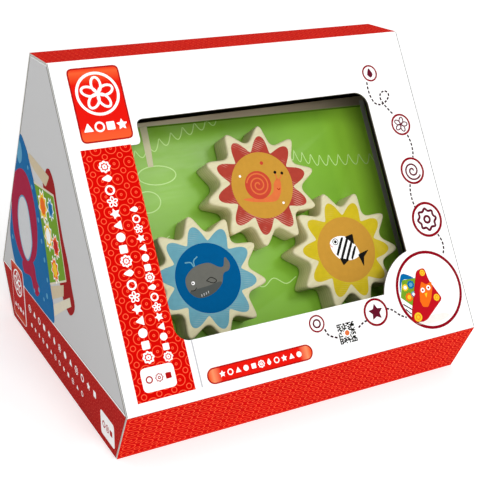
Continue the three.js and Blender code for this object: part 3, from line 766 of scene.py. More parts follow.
def toyPicture(look):
    # the toy itself in small, seen from its red end: end board, two-peaked plate, gear board, far end
    shapes = [area(ellipse(*look["shade"]), "shade", 2), blob(look["blueBoard"], "blue", 3),
              area(look["greenBoard"], "green", 4)]
    shapes += [line(bar, 0.7, "black", 3) for bar in look["bars"]]
    for x, y, radius, ink, middle in look["gears"]:
        shapes += [area(toothed(radius, 0.72 * radius, 0.5, 0.3, 9, 2) + (x, y), ink, 5),
                   disc(x, y, 0.45 * radius, middle, 6, 16)]
    board = softened(look["redBoard"], 2.2)
    shapes += [area(board + (-0.9, -0.2), "darkRed", 5), area(board, "clipRed", 6),
               area(softened(look["plate"], 1.1), "orange", 7), area(look["beak"], "yellow", 8)]
    shapes += [disc(*cap, "yellow", 8, 28) for cap in look["caps"]]
    shapes += [hoop(x, y, 0.5 * radius, 0.16 * radius, "orange", 9, 20) for x, y, radius in look["caps"]]
    for x, y in look["eyes"]:
        shapes += [disc(x, y, look["eye"], "white", 8, 22), disc(x, y, 0.45 * look["eye"], "darkRed", 9, 14)]
    return shapes


def frontShapes(look):
    # the signs, the pill with its row, the dashed way between the small pictures, the checker and the toy
    pillLeft, pillLow, pillRight, pillHigh = look["pill"]
    pillMiddle, half = (pillLow + pillHigh) / 2, (pillHigh - pillLow) / 2

    def capsule(inset):
        radius = half - inset
        return np.vstack([arc(pillLeft + half, pillMiddle, radius, 90, 270, 14),
                          arc(pillRight - half, pillMiddle, radius, -90, 90, 14)])
    shapes = signShapes(look, True)
    shapes += [area(capsule(0), "darkRed"), area(capsule(look["pillOutline"]), "pillFade", 2),
               line(look["paleLine"], 0.8, "paleLine")]
    # a grey line of painted shade along each side edge of the panel
    foldInset, foldLow, foldHigh, foldShadeWidth = look["endFoldShades"]
    for x in (foldInset - halfWidth, halfWidth - foldInset):
        shapes.append(line([(x, foldLow), (x, foldHigh)], foldShadeWidth, "fold"))
    pillStart, pillStep, pillSize = look["pillRow"]
    places = pillLeft + pillStart + pillStep * np.arange(len(look["pillKinds"]))
    shapes += rowOfSigns(look["pillKinds"], places, pillMiddle, pillSize, "white", 3, 0, 0.3)
    for x, y, radius, ring, kind, share in look["circles"]:
        shapes += pictureCircle(x, y, radius, ring)
        shapes += pictogram(kind, x, y, share * radius, "iconDark", 3)
    for path in dashPaths:
        shapes += dashes(spline(path), look["dashWidth"], "dashBrown", look["dash"], look["dashGap"])
    shapes += checkerPatch(*look["checker"], 5)
    return shapes + pictureCircle(*look["picture"]) + shifted(toyPicture(frontToy), 1, look["picture"][:2])


def signInks(surface, look):
    # the inks that depend on where they are on one panel
    low, high = look["plate"][1], look["plate"][3]
    pillLeft, pillRight = look["pill"][0], look["pill"][2]
    red, warm, pale = inkTones["plateRed"], tone(234, 92, 48), tone(240, 142, 98)
    return {
        "pattern": patternInk("patternInk", surface, patternLook),
        "plateFade": fadingInk("plateFade", surface, 1, [
            (low, warm), (low + 5, tone(236, 84, 44)), (low + 9, red), (high - 10, red), (high - 3, warm),
            (high, red)]),
        "pillFade": fadingInk("pillFade", surface, 0, [
            (pillLeft, red), (pillLeft + 1.6, warm), (pillLeft + 4, pale), (pillLeft + 9, red),
            (pillRight - 9, red), (pillRight - 4, pale), (pillRight - 1.6, warm), (pillRight, red)]),
    }


printPiece("print_front", surfaces["front"], frontShapes(frontPrint),
           {**inks, **signInks(surfaces["front"], frontPrint)}, "box")
print("front print made")

# the end panels carry a patterned band below and the toy, seen from that end, above it
endPrint = {
    "inside": (0.1, 1.7, 1.7, 2.3, 1.7, 1.7),  # how far the print stays in from each side of the section
    "bandLine": 1.1, "bandShadow": (0.75, 0.35), "bandInset": 2.7, "shadowInset": 3.0,
    "plate": (-96.4, 5.6, -68.4, 47.6), "plateRounding": 3, "plateOutline": 0.6,
    "sign": (13.5, 8.2, 9.6, 1.2),  # down from the plate's top, size, radius of its ring, the ring's width
    "label": (78.6, 4.6, 100.0, 20.6), "labelRounding": 2.4, "rowMargin": 5,
    "upperRow": (-57, 70, 25.0, 3.0), "lowerRow": (-55, 47, 13.2, 2.1),  # from, to, height, size
    "bandKinds": ("cog", "triangle", "ring", "block", "star", "drop", "petals", "disc", "triangle", "cog",
                  "ring", "star", "block"),
    "rightShift": (-9.5, 0),
}
leftToy = {
    "farBoard": [(1.5, 142.1), (6.4, 144.6), (10.4, 144), (16.3, 138.2), (19.6, 126.8), (26.5, 108),
                 (34.1, 94), (38, 81.2), (42.2, 69.9), (37.2, 62.3), (28.7, 60), (16.1, 72.1),
                 (-5.6, 127.9), (-4.6, 133.3)],
    "dowel": [(-32.6, 143.8), (-26.2, 143.4), (7.4, 139.7), (-0.7, 130.9), (-24.3, 135.3), (-35, 139.5)],
    "barBack": [(-10, 61.3), (22.9, 75.7), (21.6, 67.7), (-5.6, 53.8)],
    "barFront": [(-4.4, 50.4), (33.4, 71.8), (35.4, 66.7), (26.8, 61.7), (-2, 43.4)],
    "panel": [(-30.9, 126.7), (14.1, 130.6), (29.1, 80.4), (-9.8, 62.2), (-12, 74.5), (-17.1, 93.9),
              (-24.7, 112.4)],
    "board": [(-47.9, 151.6), (-40.2, 147.5), (-34.5, 141.8), (-29.4, 133), (-22.6, 121.9),
              (-16.5, 107.6), (-10.8, 91.7), (-7.1, 76.4), (-4, 62.3), (-0.7, 51.2), (-1.5, 39.8),
              (-9.9, 38), (-45.8, 38), (-70, 39), (-86.5, 50), (-92.7, 66.8), (-87.1, 83.8),
              (-78.1, 101.3), (-70.5, 116.3), (-62.7, 132.4), (-55.5, 144.9)],
    "cap": [(-51.2, 147.2), (-47.1, 141.3), (-49.3, 133.9), (-55.1, 130.5), (-59, 135), (-55.9, 143.3)],
    "ring": [(-63.5, 123.3), (-50.8, 128), (-40.3, 126.9), (-32.3, 120.4), (-26.4, 108.8), (-24.6, 95.8),
             (-27.4, 82.5), (-33.6, 71.6), (-48, 61.5), (-64, 59.1), (-75.8, 64.6), (-82.8, 75.3),
             (-82.7, 90.2), (-78.9, 104.3), (-72.2, 115.8)],
    "mirror": [(-52, 108.9), (-43.1, 104.8), (-39, 90.8), (-39.4, 78.1), (-50, 64.1), (-59.8, 65.6),
               (-66.6, 76.2), (-67.8, 90.3), (-61.9, 103.3)],
    "tail": [(-64, 59), (-40, 66), (-34.6, 56), (-28.4, 51), (-34.8, 43.8), (-42, 45), (-47.7, 53),
             (-63, 50.5)],
    "gears": [(-9.0, 116, 12, "yellow", "orange"), (6.5, 119, 8, "paleBlue", "blue"),
              (-1.5, 99, 11, "yellow", "white"), (12.5, 97, 9, "orange", "clipRed"),
              (8, 80, 10, "orange", "yellow")],
    "dots": [(-20.5, 103, 1.5), (-16.5, 90, 1.4), (-12.8, 78.5, 1.5), (-9.5, 66, 1.4), (-12.5, 53.5, 1.7),
             (-20, 48, 1.2), (-30, 50.5, 1.6), (-41, 45.5, 1.3), (-86.3, 68, 1.5), (-35.8, 133, 1.2),
             (-29.5, 122, 1.4)],
}


def seenGear(x, y, radius, ink, middle, level):
    # a gear that is seen a little from the side, so that its rim, face and middle are narrower than high
    star = toothed(radius, 0.64 * radius, 0.16 * radius, 0.12 * radius, 9, 3)
    return [area(star * (0.86, 1) + (x, y), "white", level),
            area(star * (0.72, 0.84) + (x, y), ink, level + 1),
            area(ellipse(x, y, 0.4 * radius, 0.46 * radius, steps=24), middle, level + 2)]


def gearPanel(look, share, step):
    # the gear board seen from the side, with a pale edge round its green print, and its gears
    panel = np.array(look["panel"])
    shapes = [area(softened(panel, 0.8), "cream", 4), area(panel * share + step, "green", 5)]
    return shapes + [shape for gear in look["gears"] for shape in seenGear(*gear, 6)]


def leftPicture(look):
    # the blue end of the toy with its mirror flower, in front of the gear board seen from the side
    shapes = [blob(look["farBoard"], "farRed", 1, 4), area(softened(look["dowel"], 2), "beige", 2),
              area(look["barBack"], "beige", 2), area(look["barFront"], "cream", 3)]
    shapes += gearPanel(look, 0.955, (0.1, 4.4))
    shapes += [blob(look[key], ink, level, 4) for key, ink, level in (
        ("board", "blue", 9), ("cap", "paleBlue", 10), ("ring", "crimson", 10), ("mirror", "grey", 12))]
    shapes += [line(spline(look["mirror"], 4, True), 1.1, "paleBlue", 13, True),
               blob(look["tail"], "crimson", 11)]
    return shapes + [area(ellipse(x, y, radius, 1.15 * radius, steps=14), "paleBlue", 12)
                     for x, y, radius in look["dots"]]


rightToy = {
    "board": [(52, 151), (44.5, 146.5), (31, 120), (14, 88), (4, 62), (3.5, 49), (13, 40), (45, 38),
              (78, 40), (91.5, 50), (92.5, 64), (84, 86), (68, 122), (60, 145)],
    "panel": [(36, 128), (-13, 124), (-33, 66), (4, 60)],
    "plate": [(30, 62), (54, 58), (78, 62), (75, 98), (69, 118), (59, 104), (47, 104), (37, 118),
              (32, 96)],
    "farBoard": [(-8, 143), (-16, 132), (-41, 70), (-29, 56), (-4, 126)],
    "dowel": [(40, 143), (-6, 141), (-7, 134), (38, 134)], "bar": [(8, 56), (-30, 62), (-28, 55), (8, 47)],
    "gears": ((12, 114, 9.4, "clipRed", "orange"), (-8, 104, 8.8, "yellow", "orange"),
              (2, 86, 9.2, "paleBlue", "blue"), (-17, 80, 7.4, "orange", "white")),
    "caps": ((52, 136, 7), (19, 52.5, 7.6), (79, 52, 7.6)),
    "eyes": (44, 64), "eyeHeight": 84, "eye": 8.4, "pupil": 3.4, "beak": [(50, 76), (58, 76), (54, 66)],
}


def rightPicture(look):
    # the red end of the toy with its two-peaked plate, in front of the gear board seen from the side
    shapes = [area(softened(look["farBoard"], 5), "blue", 1), area(softened(look["dowel"], 1.5), "beige", 2),
              area(look["bar"], "cream", 2)]
    shapes += gearPanel(look, 0.94, (0.1, 5.6))
    shapes += [blob(look["board"], "clipRed", 9), area(softened(look["plate"], 5), "orange", 10)]
    for x, y, radius in look["caps"]:
        shapes += [disc(x, y, radius, "yellow", 11), hoop(x, y, 0.6 * radius, 0.16 * radius, "orange", 12)]
    for x in look["eyes"]:
        shapes += [disc(x, look["eyeHeight"], look["eye"], "white", 11),
                   disc(x, look["eyeHeight"], look["pupil"], "darkRed", 12, 24),
                   hoop(x, look["eyeHeight"], look["eye"], 1.0, "clipRed", 12)]
    return shapes + [area(softened(look["beak"], 1.2), "yellow", 11)]


def trimmed(outline, corners, insets):
    # cut to a convex shape, side by side: a point stays if its distance inwards is at least the side's inset,
    # and where an edge crosses that distance the crossing is added
    for start, end, inset in zip(corners, np.roll(corners, -1, 0), insets):
        x, y = (end - start) / np.linalg.norm(end - start)
        deep = (outline - start) @ (-y, x) - inset
        step = deep - np.roll(deep, -1)
        share = deep / np.where(step == 0, 1, step)
        crossing = outline + share[:, None] * (np.roll(outline, -1, 0) - outline)
        stays = deep >= 0
        outline = np.stack([outline, crossing], 1)[np.stack([stays, stays != np.roll(stays, -1)], 1)]
    return outline


def endShapes(look, picture):
    # the toy's picture and the patterned band, cut to the panel, and the signs on them
    left, low, right, high = look["plate"]
    rim, rounding = look["plateOutline"], look["plateRounding"]
    shapes = picture + [area(section[-1:] + section[:3], "pattern")]
    for shape in shapes:
        if "rim" in shape:
            shape["rim"] = trimmed(shape["rim"], np.array(section, float), look["inside"])
    slopeTop = wideFold[1] + look["bandLine"] / 2
    shadowUp, shadowWidth = look["bandShadow"]
    for inset, height, width, ink in (
            (look["bandInset"], slopeTop, look["bandLine"], "white"),
            (look["shadowInset"], slopeTop + shadowUp, shadowWidth, "dimGrey")):
        half = wideFold[0] / 2 - inset
        shapes.append(line([(-half, height), (half, height)], width, ink))
    shapes += [area(plate(left - rim, low - rim, right + rim, high + rim, rounding + rim), "white", 14),
               area(plate(left, low, right, high, rounding), "endPlateFade", 15)]
    drop, signSize, ringSize, ringWidth = look["sign"]
    middle, margin = (left + right) / 2, look["rowMargin"]
    shapes += pictogram("petals", middle, high - drop, signSize, "white", 16, 18)
    shapes.append(hoop(middle, high - drop, ringSize, ringWidth, "white", 16))
    places = np.linspace(left + margin, right - margin, 4)
    shapes += rowOfSigns(("triangle", "ring", "block", "star"), places, low + 9, 2.4, "white", 16)
    labelLeft, labelLow, labelRight, labelHigh = look["label"]
    shapes.append(area(plate(*look["label"], look["labelRounding"]), "white", 2))
    places = np.linspace(labelLeft + margin, labelRight - margin, 3)
    shapes += rowOfSigns(("ring", "cog", "block"), places, (labelLow + labelHigh) / 2, 2.6, "darkRed", 3)
    kinds = look["bandKinds"]
    for key, row in (("upperRow", kinds), ("lowerRow", kinds[3:] + kinds[:3])):
        start, end, height, size = look[key]
        shapes += rowOfSigns(row, np.linspace(start, end, len(row)), height, size)
    return shapes


def endInks(name, surface, look):
    low, high = look["plate"][1], look["plate"][3]
    warm, red = tone(206, 84, 50), tone(184, 12, 8)
    return {**inks, "pattern": patternInk(name + "Pattern", surface, endLook),
            "endPlateFade": fadingInk(name + "PlateFade", surface, 1, [
                (low, warm), (low + 6, red), (high - 6, red), (high, warm)])}


pictures = {"left": leftPicture(leftToy), "right": shifted(rightPicture(rightToy), 1, endPrint["rightShift"])}
for side, picture in pictures.items():
    printPiece("print_end_" + side, surfaces[side], endShapes(endPrint, picture),
               endInks(side + "End", surfaces[side], endPrint), "end_flap_" + side)

foldCrown = {"middle": 119.4, "radius": 0.58, "rise": 0.8, "high": 206.8, "half": 15.2, "steps": 20}


def crownMesh(look, side):
    # an ellipse across the end panel's upper fold, swept along the fold, with a cap at both ends
    angle = np.arange(look["steps"]) * 2 * math.pi / look["steps"]
    x = side * (look["middle"] + look["radius"] * np.cos(angle))
    z = look["high"] + look["rise"] * np.sin(angle)
    rows = [np.stack([x, np.full_like(x, y), z], 1) for y in (-look["half"] * side, look["half"] * side)]
    k = np.arange(look["steps"])
    after = (k + 1) % look["steps"]
    walls = np.stack([k, k + look["steps"], after + look["steps"], after], 1).tolist()
    return np.vstack(rows) * millimetre, walls + [k.tolist(), (k + look["steps"])[::-1].tolist()]


for side, sign in (("left", -1), ("right", 1)):
    crown = meshObject("fold_crown_" + side, *crownMesh(foldCrown, sign), [foldedCard], smooth=50)
    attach(crown, "end_flap_" + side)
print("end prints made")

backPrint = {
    "photo": (-64, 66, 106, 193), "photoRounding": 6, "photoLine": 1.4,
    "toy": (0.98, (-6, 31)),  # size, step
    "smallPlaces": (-42, 2, 46, 88), "smallHeight": 36, "smallRadius": 17.5, "smallRing": 1.5,
    "dashes": (0.75, "dashBrown", 1.9, 1.4),  # width, ink, length, gap
    "smallKinds": (("cog", "orange"), ("petals", "crimson"), ("star", "blue"), ("spiral", "green")),
    "rules": ((-60, 14.5, -4), (-60, 9.5, -16), (12, 14.5, 70), (12, 9.5, 56)),
}


def backShapes(look):
    # the toy under a plain sky, four small pictures joined by dashes, and rules in place of words
    photo = plate(*look["photo"], look["photoRounding"])
    shapes = signShapes(frontPrint, False)
    shapes += [area(photo, "skyFade"), line(photo, look["photoLine"], "darkRed", 2, True)]
    toy = shifted(rightPicture(rightToy), *look["toy"])
    for shape in toy:
        shape["level"] += 1
    shapes += toy
    for x, (kind, ink) in zip(look["smallPlaces"], look["smallKinds"]):
        shapes += pictureCircle(x, look["smallHeight"], look["smallRadius"], look["smallRing"])
        shapes += pictogram(kind, x, look["smallHeight"], 0.62 * look["smallRadius"], ink, 3)
    reach = look["smallRadius"] + 1
    for x, nextX in zip(look["smallPlaces"], look["smallPlaces"][1:]):
        ends = [(x + reach, look["smallHeight"]), (nextX - reach, look["smallHeight"])]
        shapes += dashes(ends, *look["dashes"])
    return shapes + [line([(start, height), (end, height)], 1.0, "grey")
                     for start, height, end in look["rules"]]


skyFade = fadingInk("skyFade", surfaces["back"], 1, [
    (66, tone(236, 240, 240)), (110, tone(250, 250, 250)), (193, tone(206, 228, 240))])
printPiece("print_back", surfaces["back"], backShapes(backPrint),
           {**inks, **signInks(surfaces["back"], frontPrint), "skyFade": skyFade}, "box")
print("back print made")

# Wood

woodLook = {
    "pale": tone(228, 214, 176), "dark": tone(206, 182, 132), "roughness": 0.45, "streak": 0.45, "pore": 2.2,
    "alongGrain": 0.05, "streakShare": 0.65, "streakRange": (0.36, 0.64), "specular": 0.2,
    "relief": (0.12, 0.5), "layer": 1.2, "sideLayer": 2.6, "sideRange": (0.35, 0.65), "sideFade": (1.6, 0.1),
    "sidePale": tone(224, 214, 172), "sideDark": tone(214, 202, 158),
}
paintLook = {
    "roughness": 0.36, "roughnesses": (0.3, 0.44), "relief": (0.1, 0.4), "cover": (0.12, 0.93, 1.05, 3),
    "worn": (-1.1, -0.06), "patches": (0.4, 4), "patchRange": (0.42, 0.62), "wornShare": 0.55,
    "innerShadeFade": 0.3,
}


def grain(point, axis):
    # noise drawn out along the grain: broad streaks with fine pores on them
    stretch = [1, 1, 1]
    stretch[axis] = woodLook["alongGrain"]
    broad = noise(point, woodLook["streak"], 3, stretch)
    fine = noise(point, woodLook["pore"], 3, stretch)
    return weighted(broad, woodLook["streakShare"], fine, 1 - woodLook["streakShare"])


def layered(out, pitch, edges, pale, dark):
    # the plies that show on a board's sides
    return blend(remap(repeating(out, pitch), *edges, smooth=True), pale, dark)


def grainFinish(shader, streaks, colour, relief, roughness=None):
    # the colour, the grain's relief, and a roughness that follows the grain between two values
    feed(shader.inputs["Base Color"], colour)
    if roughness:
        feed(shader.inputs["Roughness"], spread(streaks, *roughness))
    bump(shader, streaks, *relief)


def bareWood(name, surface, axis, pale, dark, shade=None):
    # pale wood with darker streaks along its grain
    material, shader, point = newMaterial(name, surface, woodLook["roughness"], specular=woodLook["specular"])
    streaks = grain(point, axis)
    colour = blend(remap(streaks, *woodLook["streakRange"]), pale, dark)
    if shade is not None:  # the sides are darker than the face, which is at out = shade
        out = split(point)[2]
        sides = layered(out, woodLook["sideLayer"], woodLook["sideRange"], woodLook["sidePale"],
                        woodLook["sideDark"])
        face = remap(out, *(shade - depth for depth in woodLook["sideFade"]), smooth=True)
        colour = blend(face, sides, colour)
    grainFinish(shader, streaks, colour, woodLook["relief"])
    return material


def paintedWood(name, surface, axis, colour, worn, inner=None):
    # paint over the grain, thinner on the rounded edges; the inner side may be painted a dark colour as shade
    look = paintLook
    material, shader, point = newMaterial(name, surface, look["roughness"])
    streaks = grain(point, axis)
    out = split(point)[2]
    patches = remap(noise(point, *look["patches"]), *look["patchRange"], 0.0, look["wornShare"])
    rub = calc("MULTIPLY", remap(out, *look["worn"], 1.0, 0.0, True), patches)
    paint = blend(rub, uneven(point, colour, *look["cover"]), worn)
    # the inner side in a dark colour of its own: painted shade
    if inner is not None:
        depth, innerShadeColour = inner
        side = remap(out, depth - look["innerShadeFade"], depth + look["innerShadeFade"])
        paint = blend(side, innerShadeColour, paint)
    grainFinish(shader, streaks, paint, look["relief"], look["roughnesses"])
    return material


copyLook = {
    "near": 2e-6,  # points closer than this are merged, in metres
    "flat": 0.8, "corner": 32, "sharp": 38,  # degrees: faces joined below, edges rounded and kept sharp above
    "steps": 3,
}


def mergedCopy(nodeName, width):
    # the CAD solid's own mesh with doubles merged, flat triangles joined and its edges rounded over
    work = bmesh.new()
    work.from_mesh(cadNodes[nodeName].data)
    bmesh.ops.remove_doubles(work, verts=work.verts, dist=copyLook["near"])
    flat = math.radians(copyLook["flat"])
    bmesh.ops.dissolve_limit(work, angle_limit=flat, verts=work.verts, edges=work.edges)
    mesh = bpy.data.meshes.new(nodeName + "_fine")
    work.to_mesh(mesh)
    work.free()
    piece = bpy.data.objects.new(nodeName + "_fine", mesh)
    bpy.context.scene.collection.objects.link(piece)
    rounder = piece.modifiers.new("rounded", "BEVEL")
    rounder.width, rounder.segments = width * millimetre, copyLook["steps"]
    rounder.limit_method, rounder.angle_limit = "ANGLE", math.radians(copyLook["corner"])
    rounder.use_clamp_overlap = True
    finished = bpy.data.meshes.new_from_object(piece.evaluated_get(bpy.context.evaluated_depsgraph_get()))
    # a step that the rounding uses up whole leaves faces without height, and they are merged away
    work = bmesh.new()
    work.from_mesh(finished)
    bmesh.ops.dissolve_degenerate(work, dist=copyLook["near"], edges=work.edges)
    work.to_mesh(finished)
    work.free()
    piece.modifiers.clear()
    piece.data = finished
    finished.materials.clear()
    finished.polygons.foreach_set("use_smooth", np.ones(len(finished.polygons), bool))
    finished.set_sharp_from_angle(angle=math.radians(copyLook["sharp"]))
    return piece


def dressed(nodeName, material, width):
    # a rounded copy in its finish takes the place of a solid of the toy
    piece = mergedCopy(nodeName, width)
    piece.data.materials.append(material)
    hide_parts(nodeName)
    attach(piece, "box")


boardLeftFace = inside(surfaces["left"], 0, 0, -7)
boardRightFace = inside(surfaces["right"], 0, 0, -7)
# the end boards' inner sides are painted near black as the shade of the box's inside: how deep that side
# begins, and its colour
paintedShadeInside = (-8, tone(38, 30, 24))  # how deep in the board's inner side begins, and its colour
for side, slot, face, colour, worn in (
        ("left", "blue_wood", boardLeftFace, tone(24, 112, 178), tone(96, 158, 200)),
        ("right", "red_wood", boardRightFace, tone(206, 26, 34), tone(226, 92, 80))):
    paint = paintedWood(slot[:-5] + "BoardPaint", face, 1, colour, worn, paintedShadeInside)
    dressed("toy_end_" + side, paint, 0.9)
for nodeName, name, width in (("toy_base_board", "baseBoardWood", 0.8), ("toy_handle", "handleWood", 0.5)):
    wood = bareWood(name, surfaces["top"], 0, woodLook["pale"], woodLook["dark"])
    dressed(nodeName, wood, width)

cream, creamWorn = tone(246, 242, 232), tone(230, 220, 200)
playPaints = (  # side, how deep its face lies, slot, paint, colour, worn colour, rounding, solids
    ("left", 4, "crimson_wood", "mirrorRingPaint", tone(188, 28, 84), tone(216, 96, 132), 0.7,
     ["mirror_ring"]),
    ("right", 4, "orange_wood", "figurePlatePaint", tone(240, 128, 34), tone(248, 180, 104), 0.5,
     ["figure_plate"]),
    ("right", 3.5, "white_wood", "figureDiscPaint_front", cream, creamWorn, 0.5, ["figure_disc_front"]),
    ("right", 3.5, "white_wood", "figureDiscPaint_back", cream, creamWorn, 0.5, ["figure_disc_back"]),
    ("left", 4.5, "pale_blue_wood", "leftCapPaint", tone(132, 196, 230), tone(190, 222, 240), 0.7,
     ["cap_left_top", "cap_left_front", "cap_left_back"]),
    ("right", 4.5, "yellow_wood", "rightCapPaint", tone(246, 190, 44), tone(250, 216, 130), 0.7,
     ["cap_right_top", "cap_right_front", "cap_right_back"]),
)
for side, deep, slot, name, colour, worn, width, nodeNames in playPaints:
    paint = paintedWood(name, inside(surfaces[side], 0, 0, -deep), 1, colour, worn)
    for nodeName in nodeNames:
        dressed(nodeName, paint, width)

boardPrint = {
    "depth": 33.3, "printTop": 165.8, "printFall": 0.024,
    # painted light and shade on the green: a little lighter at the left, and much lighter near the right end,
    # where the carton casts shade
    "greensWithPaintedLight": ((0.0, tone(138, 190, 64)), (0.43, tone(128, 182, 50)), (0.8, tone(130, 184, 52)),
               (0.95, tone(168, 226, 66))),
    # the bare ply above the print is painted lighter at the left and darker at the right: painted light and
    # shade
    "baresWithPaintedShade": ((0.0, tone(246, 236, 204)), (0.5, tone(222, 204, 178)), (1.0, tone(164, 152, 128))),
    "bareReach": (-80, 80), "greenReach": (-95, 105), "cover": (0.03, 0.94, 1.05, 3), "bareShade": 0.84,
    # a painted sheen: a pale veil in patches over the green's upper left, standing in for the light that the
    # varnish reflects there
    "paintedSheen": 0.14, "paintedSheenColour": tone(206, 226, 176), "paintedSheenPatches": (0.07, 4, (0.5, 1.6, 1)),
    "paintedSheenRange": (0.36, 0.62), "paintedSheenAcross": (30, -50), "paintedSheenUp": (110, 160),
    "layerPale": tone(214, 192, 146), "layerDark": tone(160, 128, 88), "layerRange": (0.4, 0.6),
    "faceReach": (-0.5, -0.08), "printSoftness": 0.2, "relief": (0.08, 0.4),
    "roughness": 0.4, "roughnesses": (0.3, 0.42), "specular": 0.36,
}
boardFace = inside(surfaces["front"], 0, 0, -boardPrint["depth"])


def boardPaint(name, surface, look):
    # green print on the face up to its upper edge, bare ply above it, and the ply's layers on the sides;
    # painted light and shade run across the green and the bare ply, and a painted sheen lies on the green's
    # upper left
    material, shader, point = newMaterial(name, surface, look["roughness"], specular=look["specular"])
    across, up, out = split(point)
    streaks = grain(point, 0)
    # bare ply with painted light and shade across it, times its darker grain streaks
    bare = ramp(remap(across, *look["bareReach"]), look["baresWithPaintedShade"])
    bare = tinted(bare, remap(streaks, *woodLook["streakRange"], 1.0, look["bareShade"]))
    sides = layered(out, 2 * woodLook["layer"], look["layerRange"], look["layerPale"], look["layerDark"])
    # green with painted light and shade across the board
    green = ramp(remap(across, *look["greenReach"]), look["greensWithPaintedLight"])
    green = uneven(point, green, *look["cover"])
    # painted sheen: a pale veil in patches over the upper left of the green
    patches = remap(noise(point, *look["paintedSheenPatches"]), *look["paintedSheenRange"], 0.0, look["paintedSheen"])
    corner = calc("MULTIPLY", remap(across, *look["paintedSheenAcross"]), remap(up, *look["paintedSheenUp"]))
    green = blend(calc("MULTIPLY", patches, corner), green, look["paintedSheenColour"])
    edge = calc("ADD", up, calc("MULTIPLY", across, look["printFall"]))
    softness = look["printSoftness"]
    printed = remap(edge, look["printTop"] + softness, look["printTop"] - softness)
    face = blend(remap(out, *look["faceReach"]), sides, blend(printed, bare, green))
    grainFinish(shader, streaks, face, look["relief"], look["roughnesses"])
    return material


for nodeName, side in (("gear_board", "front"), ("back_board", "back")):
    boardPlane = inside(surfaces[side], 0, 0, -boardPrint["depth"])
    paint = boardPaint(nodeName[:4] + "BoardPaint", boardPlane, boardPrint)
    dressed(nodeName, paint, 0.6)

grassLook = {
    "start": 43.6, "pitch": 5.6, "growth": 0.22, "from": -1.4, "to": 8.1, "height": 7.4, "cap": 166,
    "ground": ((36, 133.5), (43.6, 130.8), (55.5, 126.7), (69.7, 124.9), (94.2, 122.5), (103, 121.5)),
}
scribbleLook = {
    "start": -63.1, "pitch": 8.6, "growth": 0, "from": -2.2, "to": 6.3, "height": 6.4, "cap": 165.4,
    "ground": ((-82, 142), (-63.1, 148.3), (-36, 157), (-9, 163)),
}


def bladeLine(look):
    # at count k the line is start + pitch k + growth k^2 across, and height (1 - |cos(pi k)|) above its
    # ground: pointed blades that meet in round hollows
    k = np.linspace(look["from"], look["to"], 170)
    x = look["start"] + look["pitch"] * k + look["growth"] * k ** 2
    y = np.interp(x, *np.transpose(look["ground"])) + look["height"] * (1 - np.abs(np.cos(math.pi * k)))
    return np.stack([x, np.minimum(y, look["cap"])], 1)


boardShapes = [
    # a grey strip painted along the board's right end: painted shadow where the board meets the end board
    area(plate(100.4, 41, 103.8, 166.6), "endShade", 3),
    area([(-61.4, 141.8), (-57.9, 141.6), (-56.8, 153), (-56.5, 161), (-56.2, 167.2), (-61, 167.2),
          (-60.9, 161.6), (-61.2, 150.3)], "bareStrip", 2),
    # a dark green line painted along the print's upper edge: painted shadow
    line([(-56.2, 166.5), (103.8, 162.65)], 1.0, "deepGreen"),
    line(ellipse(-57, 136, 12.4, 5.9, -4, 40), 0.7, "paleGreen", 1, True),
    line(ellipse(-67, 120.5, 8.5, 6.6, 0, 32), 0.7, "paleGreen", 1, True),
    line(bladeLine(grassLook), 0.55, "paleGreen"), line(bladeLine(scribbleLook), 0.6, "faintGreen"),
    stroke([(-80, 96), (-72, 99), (-66, 95), (-58, 98)], 0.6, "paleGreen", 1, 6),
    stroke([(-12, 60), (-4, 56), (4, 60), (12, 55), (20, 58)], 0.6, "paleGreen", 1, 6),
]
boardTones = {
    # the first two of these are inks of painted shadow
    "endShade": tone(146, 148, 138), "bareStrip": tone(204, 200, 164), "deepGreen": tone(90, 132, 34),
    "paleGreen": tone(196, 230, 152), "faintGreen": tone(192, 226, 146),
}
boardInks = {name: inkMaterial(name + "Ink", colour) for name, colour in boardTones.items()}
printPiece("print_gear_board", boardFace, boardShapes, boardInks, "box")
print("boards dressed")

# Gears

gearLook = {
    "depth": 33.0, "thickness": 18, "point": 41.04, "valley": 26.43, "tipCut": 6.5, "valleyCut": 5.0,
    "edge": 1.4, "rings": (15, 2),  # rounding of the edges, radii of the rings that the face is made of
    "bore": 5.05, "boreDepth": 9.75, "face": tone(216, 210, 174), "streak": tone(206, 198, 158),
    "teeth": 10, "petalTip": 31.4, "petalPower": 1.6, "disc": 21, "cover": (0.3, 0.95, 1.04, 3),
    # the hatching: slope of its stripes, their pitch and edge, and the noise that lets them come and go
    "slope": (0.62, 0.78), "stripe": 1.3, "stripeEdge": (0.55, 0.8), "patches": (0.09, 2),
    "patchRange": (0.46, 0.62), "hatchColour": tone(240, 214, 196),
}
gears = {
    "red": {"centre": (2.4, 116.396), "turn": 7.2, "petals": "petalRed", "disc": "discOrange",
            "petalValley": 21.7, "hatching": 0.34},
    "blue": {"centre": (-47.662, 66.942), "turn": 23, "petals": "petalBlue", "disc": "discBlue",
             "petalValley": 22.6, "hatching": 0.1},
    "yellow": {"centre": (50.016, 66.916), "turn": 28, "petals": "petalYellow", "disc": "discOrange",
               "petalValley": 22.4, "hatching": 0.08},
}


def moved(outline, distance):
    # each point goes inwards by a distance along the normal of its two neighbours' line
    along = np.roll(outline, -1, 0) - np.roll(outline, 1, 0)
    inward = np.stack([-along[:, 1], along[:, 0]], 1)
    return outline + inward / np.linalg.norm(inward, axis=1)[:, None] * distance


